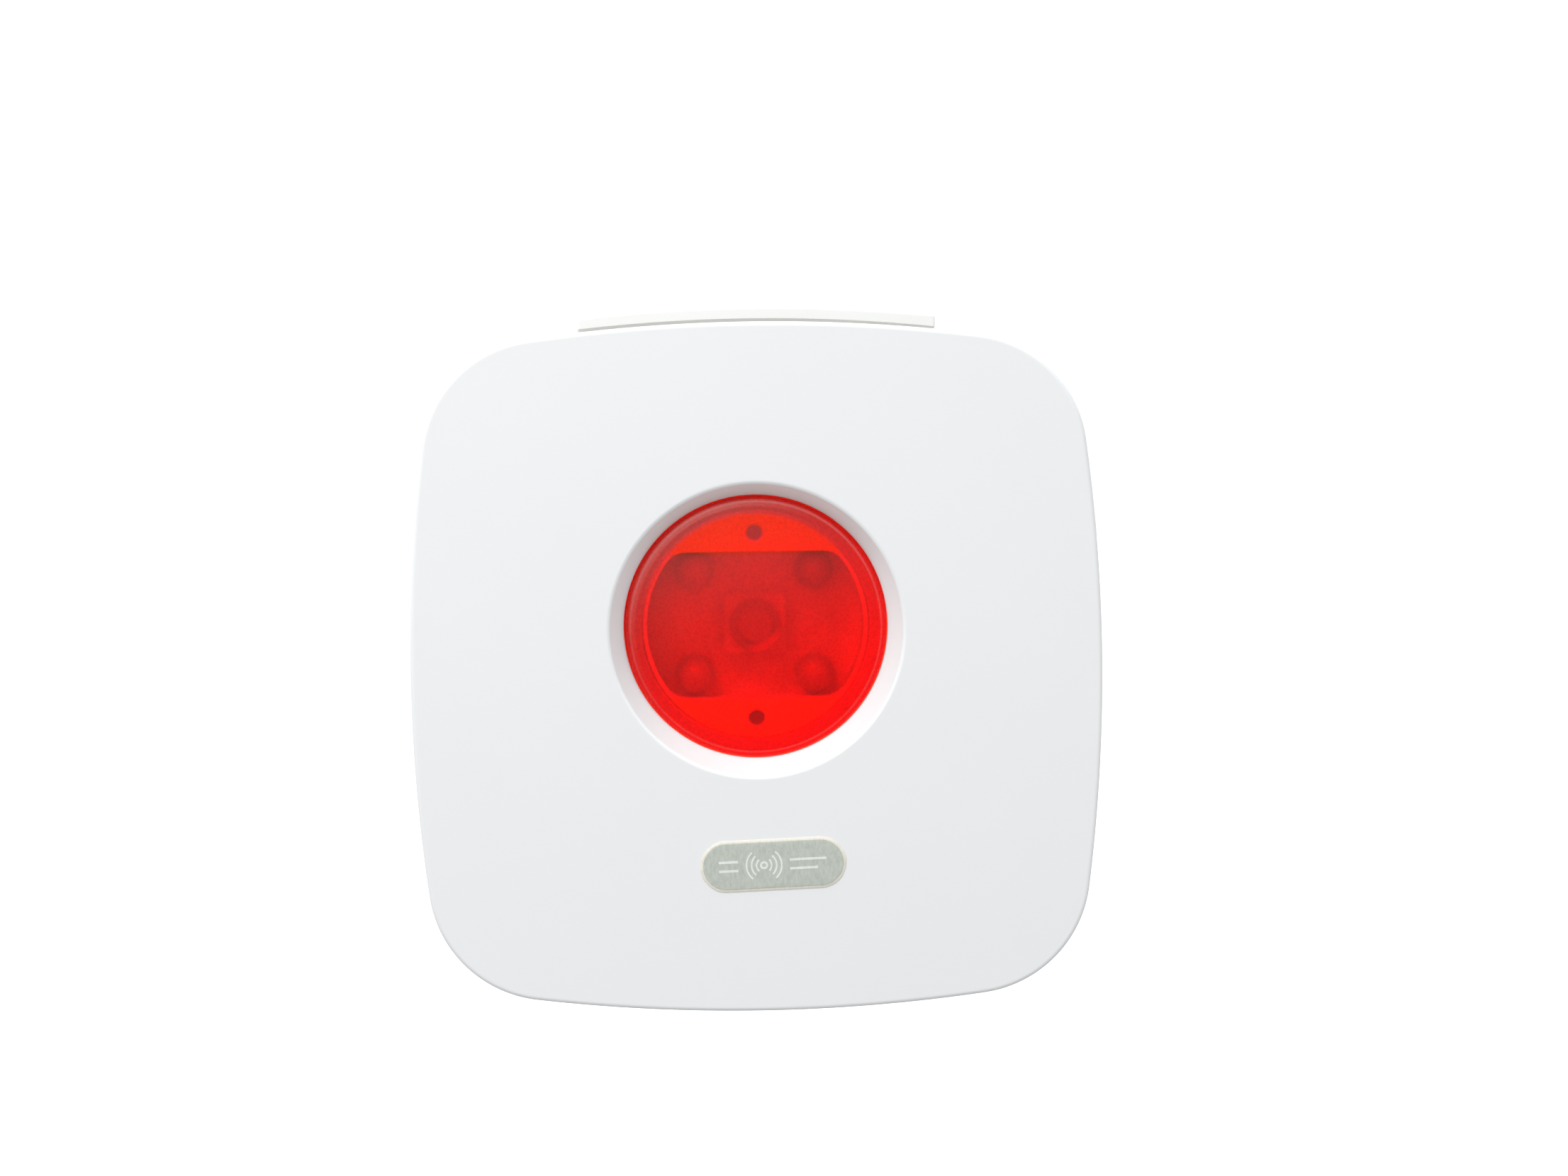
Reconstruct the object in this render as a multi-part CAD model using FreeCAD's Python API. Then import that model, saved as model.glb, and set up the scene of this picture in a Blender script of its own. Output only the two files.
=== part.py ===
import FreeCAD, Part
import math
import os

# Wall-hung alarm siren with a large beacon button.
# X to the right seen from the front, +Y into the wall, +Z up, millimetres.
# Modelled about the case's centre line, then shifted so that the origin is
# the centre of the wall bracket's back face.
# Y0 is the end of a piece nearer the front, Y1 the end nearer the wall.

Vector = FreeCAD.Vector

# ---- case -------------------------------------------------------------------
HALF = 48.0  # half the case's width and height
SIDE_R = 240.0  # radius of each bulging side
CORNER_R = 17.1
DEPTH = 34.0  # wall to front face
DRAFT = math.tan(math.radians(1.2))  # the sides narrow towards the wall
WALL = 2.0  # side and rear wall thickness
FRONT_WALL = 2.2
FRONT_EDGE = 0.6  # fillets round the front face and the funnel's rim
REAR_EDGE = 1.0
REAR_GAP = 0.4  # rear face to wall
FRONT_Y = -DEPTH
INNER_Y = FRONT_Y + FRONT_WALL
REAR_Y = -REAR_GAP
SEAM_Y = -9.0  # where the two covers meet
BEYOND = 60.0  # X or Z safely outside the case
ROOT = 0.3  # depth by which supports sink into the front wall
TOUCH = 0.01  # hairline gap between neighbouring pieces

# ---- funnel, button and what is under it ------------------------------------
BUTTON_Z = 5.3
RIM_R = 20.4
FUNNEL_R = 18.45
FUNNEL_Y1 = FRONT_Y + 6.5
FUNNEL_WALL = 1.7
COLLAR_Y1 = FRONT_Y + 13.7
CAP_R = 18.25
CAP_EDGE_R = 0.5
SKIRT_IN_R = 16.1
SKIRT_Y1 = -19.0
CAP_EDGE_Y = -28.0
CAP_CROWN = 0.6
CAP_UNDER_Y = -26.2
FLANGE_R = 19.4
PIN_OFFSET = 13.0  # guide pins above and below the button's centre
PIN_R = 1.1
PIN_Y1 = -20.8
BOSS_R, BOSS_IN_R = 3.6, 2.6
BOSS_Y1 = -22.42
REFLECTOR_Y0 = -24.2
REFLECTOR_R = 15.85
CUP_IN_R = 15.2
WINDOW_HALF_Z = 10.25
WINDOW_CORNER_R = 3.4
LED_R = 2.5
LED_X, LED_Z = 8.35, 7.2  # from the button's centre

# ---- board and screws -------------------------------------------------------
BOARD_Y0 = -16.8
BOARD_Y1 = BOARD_Y0 + 1.6
BOARD_Y = (BOARD_Y0 + BOARD_Y1) / 2
BOARD_X, BOARD_Z0, BOARD_Z1 = 31.0, -12.0, 40.0
BOARD_SCREWS = [(x, z) for z in (36.0, -4.8) for x in (27.0, -27.0)]
CASE_SCREWS = [(x, z) for z in (36.0, -36.0) for x in (36.0, -36.0)]
CASE_SEAT_Y = -3.4  # underside of the case screws' heads

# ---- wall bracket -----------------------------------------------------------
BRACKET_HALF_X = 25.9
BRACKET_X = 1.1  # bracket's centre line lies this far right of the case's
BRACKET_T = 2.9
BRACKET_Z0 = 4.0
BEAD_Z0, BEAD_Z1 = 47.92, 49.51  # bead over the case's top edge
GROOVE_Z0 = 47.3
WEB_T = 1.2  # left behind the groove
STUD_X, STUD_Z = 15.0, 33.0
STUD_R, STUD_HEAD_R = 2.0, 4.0
STUD_XS = (BRACKET_X - STUD_X, BRACKET_X + STUD_X)
LIFT = 8.0  # the case lifts this far to come off its studs
HOLE_Z, HOLE_R = 13.0, 2.1  # wall screw holes above and below the origin
ORIGIN_Z = 29.0  # bracket's centre above the case's centre
POCKET_HALF_X = BRACKET_HALF_X + 0.5
POCKET_Y = -3.1
POCKET_FLOOR_Y = POCKET_Y - 2.0
POCKET_Z0 = -4.6
POCKET_WALL = 1.6

# ---- battery bay and door ---------------------------------------------------
CELL_R, CELL_L, NUB_R, NUB_L = 5.25, 44.5, 1.9, 0.8  # AAA cells
CELL_Z = [-14.8 - 10.8 * k for k in range(3)]
CELL_Y = -7.9
BAY_HALF_X, BAY_Z0, BAY_Z1, BAY_Y = 25.6, -42.2, -9.0, -13.2
BAY_WALL = 1.4
CONTACT_T = 0.4
CONTACT_X = BAY_HALF_X - CONTACT_T  # contact face towards the cells
CONTACT_Y0, CONTACT_Y1 = BAY_Y + 0.4, -2.9
CONTACT_HALF_Z = 4.9  # from a cell's axis to its contact's edge
END_GAP = 0.4  # contacts to the bay's top and bottom
POS_TAB_Y0, POS_TAB_Y1 = -9.5, -6.5
NEG_TAB_Y0, NEG_TAB_Y1, NEG_TAB_HALF_Z = -9.5, -9.1, 1.5
NEG_TAB_X = -BAY_HALF_X - 3.0
DOOR_HALF_X, DOOR_LIP = 28.6, 1.3
DOOR_Z1 = -7.3
DOOR_GAP = 0.3

# ---- sounder and power switch -----------------------------------------------
SOUNDER_Z, SOUNDER_R = -30.3, 12.8
SOUNDER_Y0, SOUNDER_Y1 = -30.6, -19.0
POWER_Z, POWER_Y = -18.0, -20.0
POWER_X0, POWER_X1 = 39.7, 44.4
POWER_TRAVEL = 3.0


# ---- basic shapes -----------------------------------------------------------
def box(x0, x1, y0, y1, z0, z1):
    return Part.makeBox(x1 - x0, y1 - y0, z1 - z0, Vector(x0, y0, z0))


def centred_box(x, z, half_x, half_z, y0, y1):
    return box(x - half_x, x + half_x, y0, y1, z - half_z, z + half_z)


def cyl(r, x, z, y0, y1):
    """Cylinder along Y."""
    return Part.makeCylinder(r, y1 - y0, Vector(x, y0, z), Vector(0, 1, 0))


def cyls(r, places, y0, y1):
    return [cyl(r, x, z, y0, y1) for x, z in places]


def cylx(r, y, z, xa, xb):
    """Cylinder along X between two ends given in either order."""
    x0, x1 = sorted((xa, xb))
    return Part.makeCylinder(r, x1 - x0, Vector(x0, y, z), Vector(1, 0, 0))


def cone(r0, r1, x, z, y0, y1):
    return Part.makeCone(r0, r1, y1 - y0, Vector(x, y0, z), Vector(0, 1, 0))


def tube(r, r_in, x, z, y0, y1):
    return cyl(r, x, z, y0, y1).cut(cyl(r_in, x, z, y0 - 1, y1 + 1))


def cross(x, z, y0, y1, width, length):
    """Cross for a screw's recess."""
    bar = centred_box(x, z, length / 2, width / 2, y0, y1)
    return bar.fuse(centred_box(x, z, width / 2, length / 2, y0, y1))


def fuse(first, *others):
    return first.multiFuse(list(others)).removeSplitter()


def cut_each(shape, tools):
    for tool in tools:
        shape = shape.cut(tool)
    return shape


def edges_at_y(shape, y, tol=0.01):
    return [
        edge
        for edge in shape.Edges
        if abs(edge.BoundBox.YMin - y) < tol and abs(edge.BoundBox.YMax - y) < tol
    ]


def edges_along_y(shape, length):
    return [
        edge
        for edge in shape.Edges
        if abs(edge.BoundBox.YMax - edge.BoundBox.YMin - length) < 0.01
    ]


def outline(inset, y):
    """The case's outline moved inwards by inset, as a closed wire at y."""
    side_c = HALF - SIDE_R  # centre of a side arc, on the axis
    corner_c = (side_c + math.sqrt(2 * (SIDE_R - CORNER_R) ** 2 - side_c**2)) / 2
    side_r, corner_r = SIDE_R - inset, CORNER_R - inset
    half_angle = math.atan2(corner_c, corner_c - side_c)  # of a side arc
    edges = []
    for k in range(4):
        turn = k * math.pi / 2

        def turned(x, z):
            return Vector(
                x * math.cos(turn) - z * math.sin(turn),
                y,
                x * math.sin(turn) + z * math.cos(turn),
            )

        def on_side(angle):
            return turned(side_c + side_r * math.cos(angle), side_r * math.sin(angle))

        def on_corner(angle):
            return turned(
                corner_c + corner_r * math.cos(angle), corner_c + corner_r * math.sin(angle)
            )

        side_end = on_side(half_angle)
        corner_end = on_corner(math.pi / 2 - half_angle)
        edges.append(Part.Arc(on_side(-half_angle), on_side(0), side_end).toShape())
        edges.append(Part.Arc(side_end, on_corner(math.pi / 4), corner_end).toShape())
    return Part.Wire(edges)


def block(inset, y0, y1):
    """Solid with the case's drafted outline, moved inwards by inset."""
    wires = [outline(inset + (y + DEPTH) * DRAFT, y) for y in (y0, y1)]
    return Part.makeLoft(wires, True, True)


def top_bulge(z, y0, y1):
    """Cylinder concentric with the case's top side, with its crest at z."""
    return cyl(SIDE_R + z - HALF, 0, HALF - SIDE_R, y0, y1)


def lead(points, r, bend):
    """Round lead: straight runs between points, joined by bends of radius bend."""
    pts = [Vector(*point) for point in points]
    runs = []
    start = pts[0]
    for k in range(1, len(pts) - 1):
        before = (pts[k] - pts[k - 1]).normalize()
        after = (pts[k + 1] - pts[k]).normalize()
        turn = before.getAngle(after)
        setback = bend * math.tan(turn / 2)
        bend_start = pts[k] - before * setback
        runs.append(Part.makeCylinder(r, (bend_start - start).Length, start, before))
        axis = before.cross(after).normalize()
        centre = bend_start + axis.cross(before).normalize() * bend
        disc = Part.Face(Part.Wire(Part.makeCircle(r, bend_start, before)))
        runs.append(disc.revolve(centre, axis, math.degrees(turn)))
        start = pts[k] + after * setback
    runs.append(Part.makeCylinder(r, (pts[-1] - start).Length, start, pts[-1] - start))
    return fuse(*runs)


# ---- front cover ------------------------------------------------------------
def front_shell():
    body = block(0, FRONT_Y, SEAM_Y)
    body = body.makeFillet(FRONT_EDGE, edges_at_y(body, FRONT_Y))
    funnel = cone(RIM_R, FUNNEL_R, 0, BUTTON_Z, FRONT_Y, FUNNEL_Y1)
    body = body.cut(funnel.fuse(cyl(FUNNEL_R, 0, BUTTON_Z, FUNNEL_Y1, SEAM_Y + 1)))
    rim_length = 2 * math.pi * RIM_R
    rim = [e for e in edges_at_y(body, FRONT_Y) if abs(e.Length - rim_length) < 0.05]
    body = body.makeFillet(FRONT_EDGE, rim)
    return body.cut(block(WALL, INNER_Y, SEAM_Y + 1))


def funnel_wall():
    rim_r, throat_r = RIM_R + FUNNEL_WALL, FUNNEL_R + FUNNEL_WALL
    wall = cone(rim_r, throat_r, 0, BUTTON_Z, FRONT_Y + 1.0, FUNNEL_Y1)
    wall = wall.fuse(cyl(throat_r, 0, BUTTON_Z, FUNNEL_Y1, COLLAR_Y1))
    wall = wall.cut(cone(RIM_R + 0.05, FUNNEL_R, 0, BUTTON_Z, FRONT_Y, FUNNEL_Y1))
    return wall.cut(cyl(FUNNEL_R, 0, BUTTON_Z, FUNNEL_Y1, COLLAR_Y1 + 1))


def front_supports():
    """Screw bosses, the sounder's ring and ledge, the power switch's ribs and shelf."""
    root_y = INNER_Y - ROOT
    ring_r = SOUNDER_R + 1.5
    supports = cyls(3.5, CASE_SCREWS, root_y, SEAM_Y)
    supports += cyls(3.0, BOARD_SCREWS, root_y, BOARD_Y0)
    supports.append(tube(ring_r, SOUNDER_R + 0.25, 0, SOUNDER_Z, root_y, SOUNDER_Y0 + 3.6))
    supports.append(tube(ring_r, SOUNDER_R - 1.0, 0, SOUNDER_Z, root_y, SOUNDER_Y0))
    rib_y1 = POWER_Y + 2.6
    for z in (POWER_Z - 5.1, POWER_Z + 5.1):
        rib = box(37.5, 47.0, root_y, rib_y1, z - 0.7, z + 0.7)
        supports.append(rib.common(block(1.0, root_y, rib_y1)))
    supports.append(
        box(POWER_X0 + 0.6, POWER_X1 - 0.6, root_y, POWER_Y - 2.22, POWER_Z - 4.6, POWER_Z + 4.6)
    )
    return supports


def bottom_slots():
    """Round-ended slots through the bottom side, below the sounder."""
    pitch, r = 6.0, 0.9
    y0, y1, z0, z1 = -28.6, -21.4, -52, -41
    slots = []
    for k in range(-2, 3):
        x = k * pitch
        slot = box(x - r, x + r, y0, y1, z0, z1)
        for y in (y0, y1):
            slot = slot.fuse(Part.makeCylinder(r, z1 - z0, Vector(x, y, z0), Vector(0, 0, 1)))
        slots.append(slot)
    return slots


def front_cover():
    front = fuse(front_shell(), funnel_wall(), *front_supports())
    # gap in the sounder's ring on the side of the slots
    cuts = [box(-8, 8, INNER_Y, SOUNDER_Y0 + 4, SOUNDER_Z - 16.5, SOUNDER_Z - 10)]
    cuts += bottom_slots()
    cuts += cyls(1.3, CASE_SCREWS, -24.0, SEAM_Y + 1)
    cuts += cyls(1.05, BOARD_SCREWS, -26.0, BOARD_Y0 + 1)
    # power switch window and the thumbnail dish round it
    cuts.append(box(40.0, 52.0, POWER_Y - 1.5, POWER_Y + 1.5, POWER_Z - 2.95, POWER_Z + 2.95))
    dish = cyl(9.0, 54.75, POWER_Z, POWER_Y - 8, POWER_Y + 8)
    dish_limits = box(40, 60, POWER_Y - 3.6, POWER_Y + 3.6, POWER_Z - 9, POWER_Z + 9)
    cuts.append(dish.common(dish_limits))
    return cut_each(front, cuts).removeSplitter()


# ---- rear cover -------------------------------------------------------------
def rear_blank():
    """Solid outside shape of the rear cover."""
    blank = block(0, SEAM_Y + 0.45, REAR_Y)
    return blank.makeFillet(REAR_EDGE, edges_at_y(blank, REAR_Y))


def rear_additions():
    lip_in = WALL + 1.1
    lip = block(WALL + 0.12, SEAM_Y - 1.5, SEAM_Y + 3).cut(block(lip_in, SEAM_Y - 2, SEAM_Y + 4))
    root = block(WALL - 0.3, SEAM_Y + 0.1, SEAM_Y + 3).cut(block(lip_in, SEAM_Y - 1, SEAM_Y + 4))
    adds = [lip, root]
    inside_y = REAR_Y - 1.0
    for boss in cyls(4.2, CASE_SCREWS, SEAM_Y, inside_y):
        adds.append(boss.common(block(1.0, SEAM_Y, inside_y)))
    half_x = POCKET_HALF_X + POCKET_WALL
    pocket = box(
        BRACKET_X - half_x,
        BRACKET_X + half_x,
        POCKET_FLOOR_Y,
        inside_y,
        POCKET_Z0 - POCKET_WALL,
        BEYOND,
    )
    adds.append(pocket.common(block(0.6, POCKET_FLOOR_Y, inside_y)))
    # thicker rear wall round the door's recess
    floor = box(-31.5, 31.5, -4.05, -2.3, -BEYOND, -5.8)
    adds.append(floor.common(block(0.6, -4.05, -2.3)))
    half_x = BAY_HALF_X + BAY_WALL
    adds.append(box(-half_x, half_x, BAY_Y - 1.2, -2.6, BAY_Z0 - BAY_WALL, BAY_Z1 + BAY_WALL))
    return adds


def rear_cuts():
    pocket_x0, pocket_x1 = BRACKET_X - POCKET_HALF_X, BRACKET_X + POCKET_HALF_X
    door_x = DOOR_HALF_X + DOOR_GAP
    door_z1 = DOOR_Z1 + DOOR_GAP
    tongue_x = door_x + DOOR_LIP
    tab_z = CELL_Z[2]
    tab_half_z = NEG_TAB_HALF_Z + 0.2
    cuts = [
        box(pocket_x0, pocket_x1, POCKET_Y, 1, POCKET_Z0, BEYOND),
        box(-BAY_HALF_X, BAY_HALF_X, BAY_Y, 1, BAY_Z0, BAY_Z1),
        box(-door_x, door_x, -1.6, 1, -BEYOND, door_z1),
        box(-tongue_x, tongue_x, -2.45, -1.35, -BEYOND, door_z1),
        # slots for the contacts' tabs
        box(
            CONTACT_X - 0.1,
            BAY_HALF_X + 0.1,
            POS_TAB_Y0 - 0.2,
            POS_TAB_Y1 + 0.2,
            BAY_Z1 - 0.2,
            BAY_Z1 + 2,
        ),
        box(
            -BAY_HALF_X - 2,
            -BAY_HALF_X + 0.1,
            NEG_TAB_Y0 - 0.1,
            NEG_TAB_Y1 + 0.1,
            tab_z - tab_half_z,
            tab_z + tab_half_z,
        ),
    ]
    # keyholes: each slot's upper end rests on its stud
    slot_r = STUD_R + 0.2
    slot_z = STUD_Z + STUD_R + 0.03 - slot_r
    entry_z = STUD_Z - LIFT
    y0 = POCKET_FLOOR_Y - 1
    for x in STUD_XS:
        cuts.append(cyl(slot_r, x, slot_z, y0, 0))
        cuts.append(box(x - slot_r, x + slot_r, y0, 0, entry_z, slot_z))
        cuts.append(cyl(STUD_HEAD_R + 0.4, x, entry_z, y0, 0))
    for x, z in CASE_SCREWS:
        cuts.append(cyl(3.0, x, z, CASE_SEAT_Y, 1))
        cuts.append(cyl(1.6, x, z, SEAM_Y - 1, 0))
    return cuts


def rear_cover():
    # the inset strip leaves a fine groove at the seam
    rear = rear_blank().fuse(block(0.5, SEAM_Y, SEAM_Y + 0.6))
    rear = rear.cut(block(WALL, SEAM_Y - 0.5, REAR_Y - WALL))
    rear = fuse(rear, *rear_additions())
    return cut_each(rear, rear_cuts()).removeSplitter()


def battery_door():
    """Slides down out of the rear cover."""
    y0 = -2.35
    tongue_x = DOOR_HALF_X + DOOR_LIP
    blank = rear_blank()
    door = box(-DOOR_HALF_X, DOOR_HALF_X, y0, 1, -BEYOND, DOOR_Z1).common(blank)
    tongue = box(-tongue_x, tongue_x, y0, -1.45, -BEYOND, DOOR_Z1).common(blank)
    door = fuse(door, tongue)
    for k in range(5):  # grip grooves
        z0 = -19.0 - 2.4 * k
        door = door.cut(box(-9, 9, -0.9, 1, z0, z0 + 1.2))
    corners = [Vector(x, -0.8, z) for x, z in ((-4, -33), (4, -33), (0, -38), (-4, -33))]
    arrow = Part.Face(Part.makePolygon(corners)).extrude(Vector(0, 2, 0))
    return door.cut(arrow).removeSplitter()


# ---- wall bracket -----------------------------------------------------------
def bracket_corners(plate):
    """Edges along Y at the plate's side faces: (lower, upper)."""
    corners = []
    for edge in plate.Edges:
        bounds = edge.BoundBox
        along_y = abs(bounds.XMin - bounds.XMax) < 0.01 and abs(bounds.ZMax - bounds.ZMin) < 0.01
        if along_y and abs(abs(bounds.XMin - BRACKET_X) - BRACKET_HALF_X) < 0.01:
            corners.append(edge)
    split_z = BRACKET_Z0 + 1
    lower = [edge for edge in corners if edge.BoundBox.ZMin < split_z]
    upper = [edge for edge in corners if edge.BoundBox.ZMin > split_z]
    return lower, upper


def wall_bracket():
    x0, x1 = BRACKET_X - BRACKET_HALF_X, BRACKET_X + BRACKET_HALF_X
    plate = box(x0, x1, -BRACKET_T, 0, BRACKET_Z0, BEYOND)
    plate = plate.common(top_bulge(BEAD_Z1, -6, 4))
    plate = plate.makeFillet(0.4, bracket_corners(plate)[1])
    plate = plate.makeFillet(3.0, bracket_corners(plate)[0])
    plate = plate.makeFillet(0.35, edges_at_y(plate, -BRACKET_T))
    # groove under the bead
    groove = top_bulge(BEAD_Z0, -WEB_T - 6, -WEB_T)
    groove = groove.cut(top_bulge(GROOVE_Z0, -BRACKET_T - 8, -BRACKET_T + 4))
    groove = groove.common(box(-40, 40, -BRACKET_T - 3, -WEB_T, 30, 60))
    plate = plate.cut(groove)
    head_y0, head_y1 = -6.8, -5.3
    for x in STUD_XS:
        stud = cyl(STUD_R, x, STUD_Z, head_y1 - 0.02, -BRACKET_T + 0.5)
        head = cyl(STUD_HEAD_R, x, STUD_Z, head_y0, head_y1)
        head = head.makeChamfer(0.4, edges_at_y(head, head_y0))
        plate = plate.fuse(stud).fuse(head)
    for z in (ORIGIN_Z - HOLE_Z, ORIGIN_Z + HOLE_Z):
        plate = plate.cut(cyl(HOLE_R, BRACKET_X, z, -10, 1))
        plate = plate.cut(cone(4.3, HOLE_R, BRACKET_X, z, -BRACKET_T, -BRACKET_T + 2.2))
    # lightening windows beside the lower screw hole
    for side in (-1, 1):
        opening = centred_box(BRACKET_X + side * 15, 15.5, 6, 6, -10, 1)
        plate = plate.cut(opening.makeFillet(2.0, edges_along_y(opening, 11)))
    return plate.removeSplitter()


def badge_label():
    """Round-ended label on the front face, slightly tilted."""
    width, height, thickness, tilt = 20.3, 7.2, 0.25, -2.0
    end_x = (width - height) / 2
    y0 = FRONT_Y - thickness
    badge = centred_box(0, 0, end_x, height / 2, y0, FRONT_Y)
    for x in (end_x, -end_x):
        badge = badge.fuse(cyl(height / 2, x, 0, y0, FRONT_Y))
    badge = badge.removeSplitter()
    badge.rotate(Vector(0, 0, 0), Vector(0, 1, 0), tilt)
    badge.translate(Vector(1.9, 0, -27.4))
    return badge


# ---- button -----------------------------------------------------------------
def button_cap():
    flange_y = COLLAR_Y1 + 0.03
    flat_r = CAP_R - CAP_EDGE_R
    bevel = CAP_EDGE_R * math.sin(math.pi / 4)
    # radius, y: crown arc, edge arc, then straight lines back to the axis
    profile = [
        (0, CAP_EDGE_Y - CAP_CROWN),
        (flat_r / 2, CAP_EDGE_Y - CAP_CROWN * 0.75),
        (flat_r, CAP_EDGE_Y),
        (flat_r + bevel, CAP_EDGE_Y + CAP_EDGE_R - bevel),
        (CAP_R, CAP_EDGE_Y + CAP_EDGE_R),
        (CAP_R, flange_y),
        (FLANGE_R, flange_y),
        (FLANGE_R, SKIRT_Y1),
        (SKIRT_IN_R, SKIRT_Y1),
        (SKIRT_IN_R, CAP_UNDER_Y),
        (0, CAP_UNDER_Y),
    ]
    pts = [Vector(r, y, 0) for r, y in profile]
    edges = [Part.Arc(*pts[0:3]).toShape(), Part.Arc(*pts[2:5]).toShape()]
    for start, end in zip(pts[4:], pts[5:] + [pts[0]]):
        edges.append(Part.LineSegment(start, end).toShape())
    cap = Part.Face(Part.Wire(edges)).revolve(Vector(0, 0, 0), Vector(0, 1, 0), 360)
    cap.translate(Vector(0, 0, BUTTON_Z))
    root_y = CAP_UNDER_Y - 0.5
    adds = [tube(BOSS_R, BOSS_IN_R, 0, BUTTON_Z, root_y, BOSS_Y1)]
    for side in (-1, 1):
        z = BUTTON_Z + side * PIN_OFFSET
        adds.append(cyl(PIN_R, 0, z, root_y, PIN_Y1))
        adds.append(cyl(0.8, 0, z, PIN_Y1 - 0.2, PIN_Y1 + 1.0))  # tip inside the spring
    return fuse(cap, *adds)


def return_spring(side):
    """Spring under a guide pin, as a plain sleeve; side is 1 above, -1 below."""
    z = BUTTON_Z + side * PIN_OFFSET
    return tube(1.5, 1.05, 0, z, PIN_Y1 + TOUCH, BOARD_Y0 - TOUCH)


def reflector_window(grow, y0, y1):
    opening = centred_box(0, BUTTON_Z, 20, WINDOW_HALF_Z + grow, y0, y1)
    opening = opening.common(cyl(CUP_IN_R, 0, BUTTON_Z, y0 - 1, y1 + 1))
    corners = [e for e in edges_along_y(opening, y1 - y0) if abs(e.BoundBox.XMin) > 5]
    return opening.makeFillet(WINDOW_CORNER_R + grow, corners)


def reflector_plate():
    y1 = BOARD_Y0 - 0.005
    plate = cyl(REFLECTOR_R, 0, BUTTON_Z, REFLECTOR_Y0, REFLECTOR_Y0 + 1.2)
    plate = plate.fuse(tube(REFLECTOR_R, CUP_IN_R, 0, BUTTON_Z, REFLECTOR_Y0 + 1.0, y1))
    plate = plate.fuse(reflector_window(0.8, REFLECTOR_Y0 + 1.0, y1))
    plate = plate.cut(reflector_window(0, REFLECTOR_Y0 - 1, BOARD_Y0 + 1))
    for side in (-1, 1):
        z = BUTTON_Z + side * PIN_OFFSET
        plate = plate.cut(cyl(PIN_R + 0.09, 0, z, REFLECTOR_Y0 - 1, REFLECTOR_Y0 + 2))
    return plate.removeSplitter()


def strobe_led(x, z):
    dome_y = BOARD_Y0 - 4.7
    led = cyl(LED_R + 0.2, x, z, BOARD_Y0 - 1.0, BOARD_Y0)
    led = led.fuse(cyl(LED_R, x, z, dome_y, BOARD_Y0 - 0.9))
    dome = Part.makeSphere(LED_R, Vector(x, dome_y, z))
    dome = dome.common(centred_box(x, z, 4, 4, BOARD_Y0 - 8, dome_y + 0.1))
    return led.fuse(dome).removeSplitter()


def strobe_leds():
    places = [(i * LED_X, BUTTON_Z + j * LED_Z) for i in (-1, 1) for j in (-1, 1)]
    return Part.makeCompound([strobe_led(x, z) for x, z in places])


def push_switch_body():
    y0, half = -20.2, 4.25
    body = centred_box(0, BUTTON_Z, half, half, y0, BOARD_Y0)
    body = body.makeChamfer(0.5, edges_along_y(body, BOARD_Y0 - y0))
    return body.cut(cyl(1.75, 0, BUTTON_Z, y0 - 1, BOARD_Y0 - 0.15))


def push_switch_plunger():
    plunger = cyl(3.3, 0, BUTTON_Z, BOSS_Y1 + 0.02, BOSS_Y1 + 0.42)
    plunger = plunger.fuse(cyl(1.7, 0, BUTTON_Z, BOSS_Y1 + 0.3, -18.65))
    plunger = plunger.fuse(cyl(2.4, 0, BUTTON_Z, BOSS_Y1 - 0.8, BOSS_Y1 + 0.1))
    return plunger.removeSplitter()


# ---- main board and screws --------------------------------------------------
def main_board():
    board = box(-BOARD_X, BOARD_X, BOARD_Y0, BOARD_Y1, BOARD_Z0, BOARD_Z1)
    return cut_each(board, cyls(1.6, BOARD_SCREWS, BOARD_Y0 - 1, BOARD_Y1 + 1))


def board_screw(x, z):
    screw = cyl(2.2, x, z, BOARD_Y1, BOARD_Y1 + 1.3)
    screw = screw.fuse(cyl(1.04, x, z, -24.0, BOARD_Y1 + 0.1))
    screw = screw.cut(cross(x, z, BOARD_Y1 + 0.6, BOARD_Y1 + 2, 0.5, 2.4))
    return screw.removeSplitter()


def case_screw(x, z):
    head_y1, shank_r, point_y = -1.6, 1.29, -20.0
    screw = cyl(2.7, x, z, CASE_SEAT_Y, head_y1)
    screw = screw.makeFillet(0.6, edges_at_y(screw, head_y1))
    screw = screw.fuse(cyl(shank_r, x, z, point_y, CASE_SEAT_Y + 0.1))
    screw = screw.fuse(cone(0.3, shank_r, x, z, point_y - 2.0, point_y))
    return screw.cut(cross(x, z, -2.7, 0, 0.7, 3.2)).removeSplitter()


# ---- board components, on the side facing the wall --------------------------
def capacitor(r, x, z, height, edge_r):
    y1 = BOARD_Y1 + height
    can = cyl(r, x, z, BOARD_Y1, y1)
    return can.makeFillet(edge_r, edges_at_y(can, y1))


def boost_coil():
    x, z, flange_r = 19, 14, 4.6
    coil = cyl(flange_r, x, z, BOARD_Y1, BOARD_Y1 + 1.0)
    coil = coil.fuse(cyl(3.6, x, z, BOARD_Y1 + 0.9, BOARD_Y1 + 5.1))
    coil = coil.fuse(cyl(flange_r, x, z, BOARD_Y1 + 5.0, BOARD_Y1 + 6.0))
    return coil.removeSplitter()


def controller_chip():
    chip = box(-2.0, 2.0, BOARD_Y1 + 0.15, BOARD_Y1 + 1.65, 18, 26.7)
    for x0 in (-3.0, 1.9):  # seven legs on each side
        for k in range(7):
            z = 18.55 + 1.27 * k
            chip = chip.fuse(box(x0, x0 + 1.1, BOARD_Y1, BOARD_Y1 + 0.5, z - 0.2, z + 0.2))
    return chip.removeSplitter()


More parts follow.
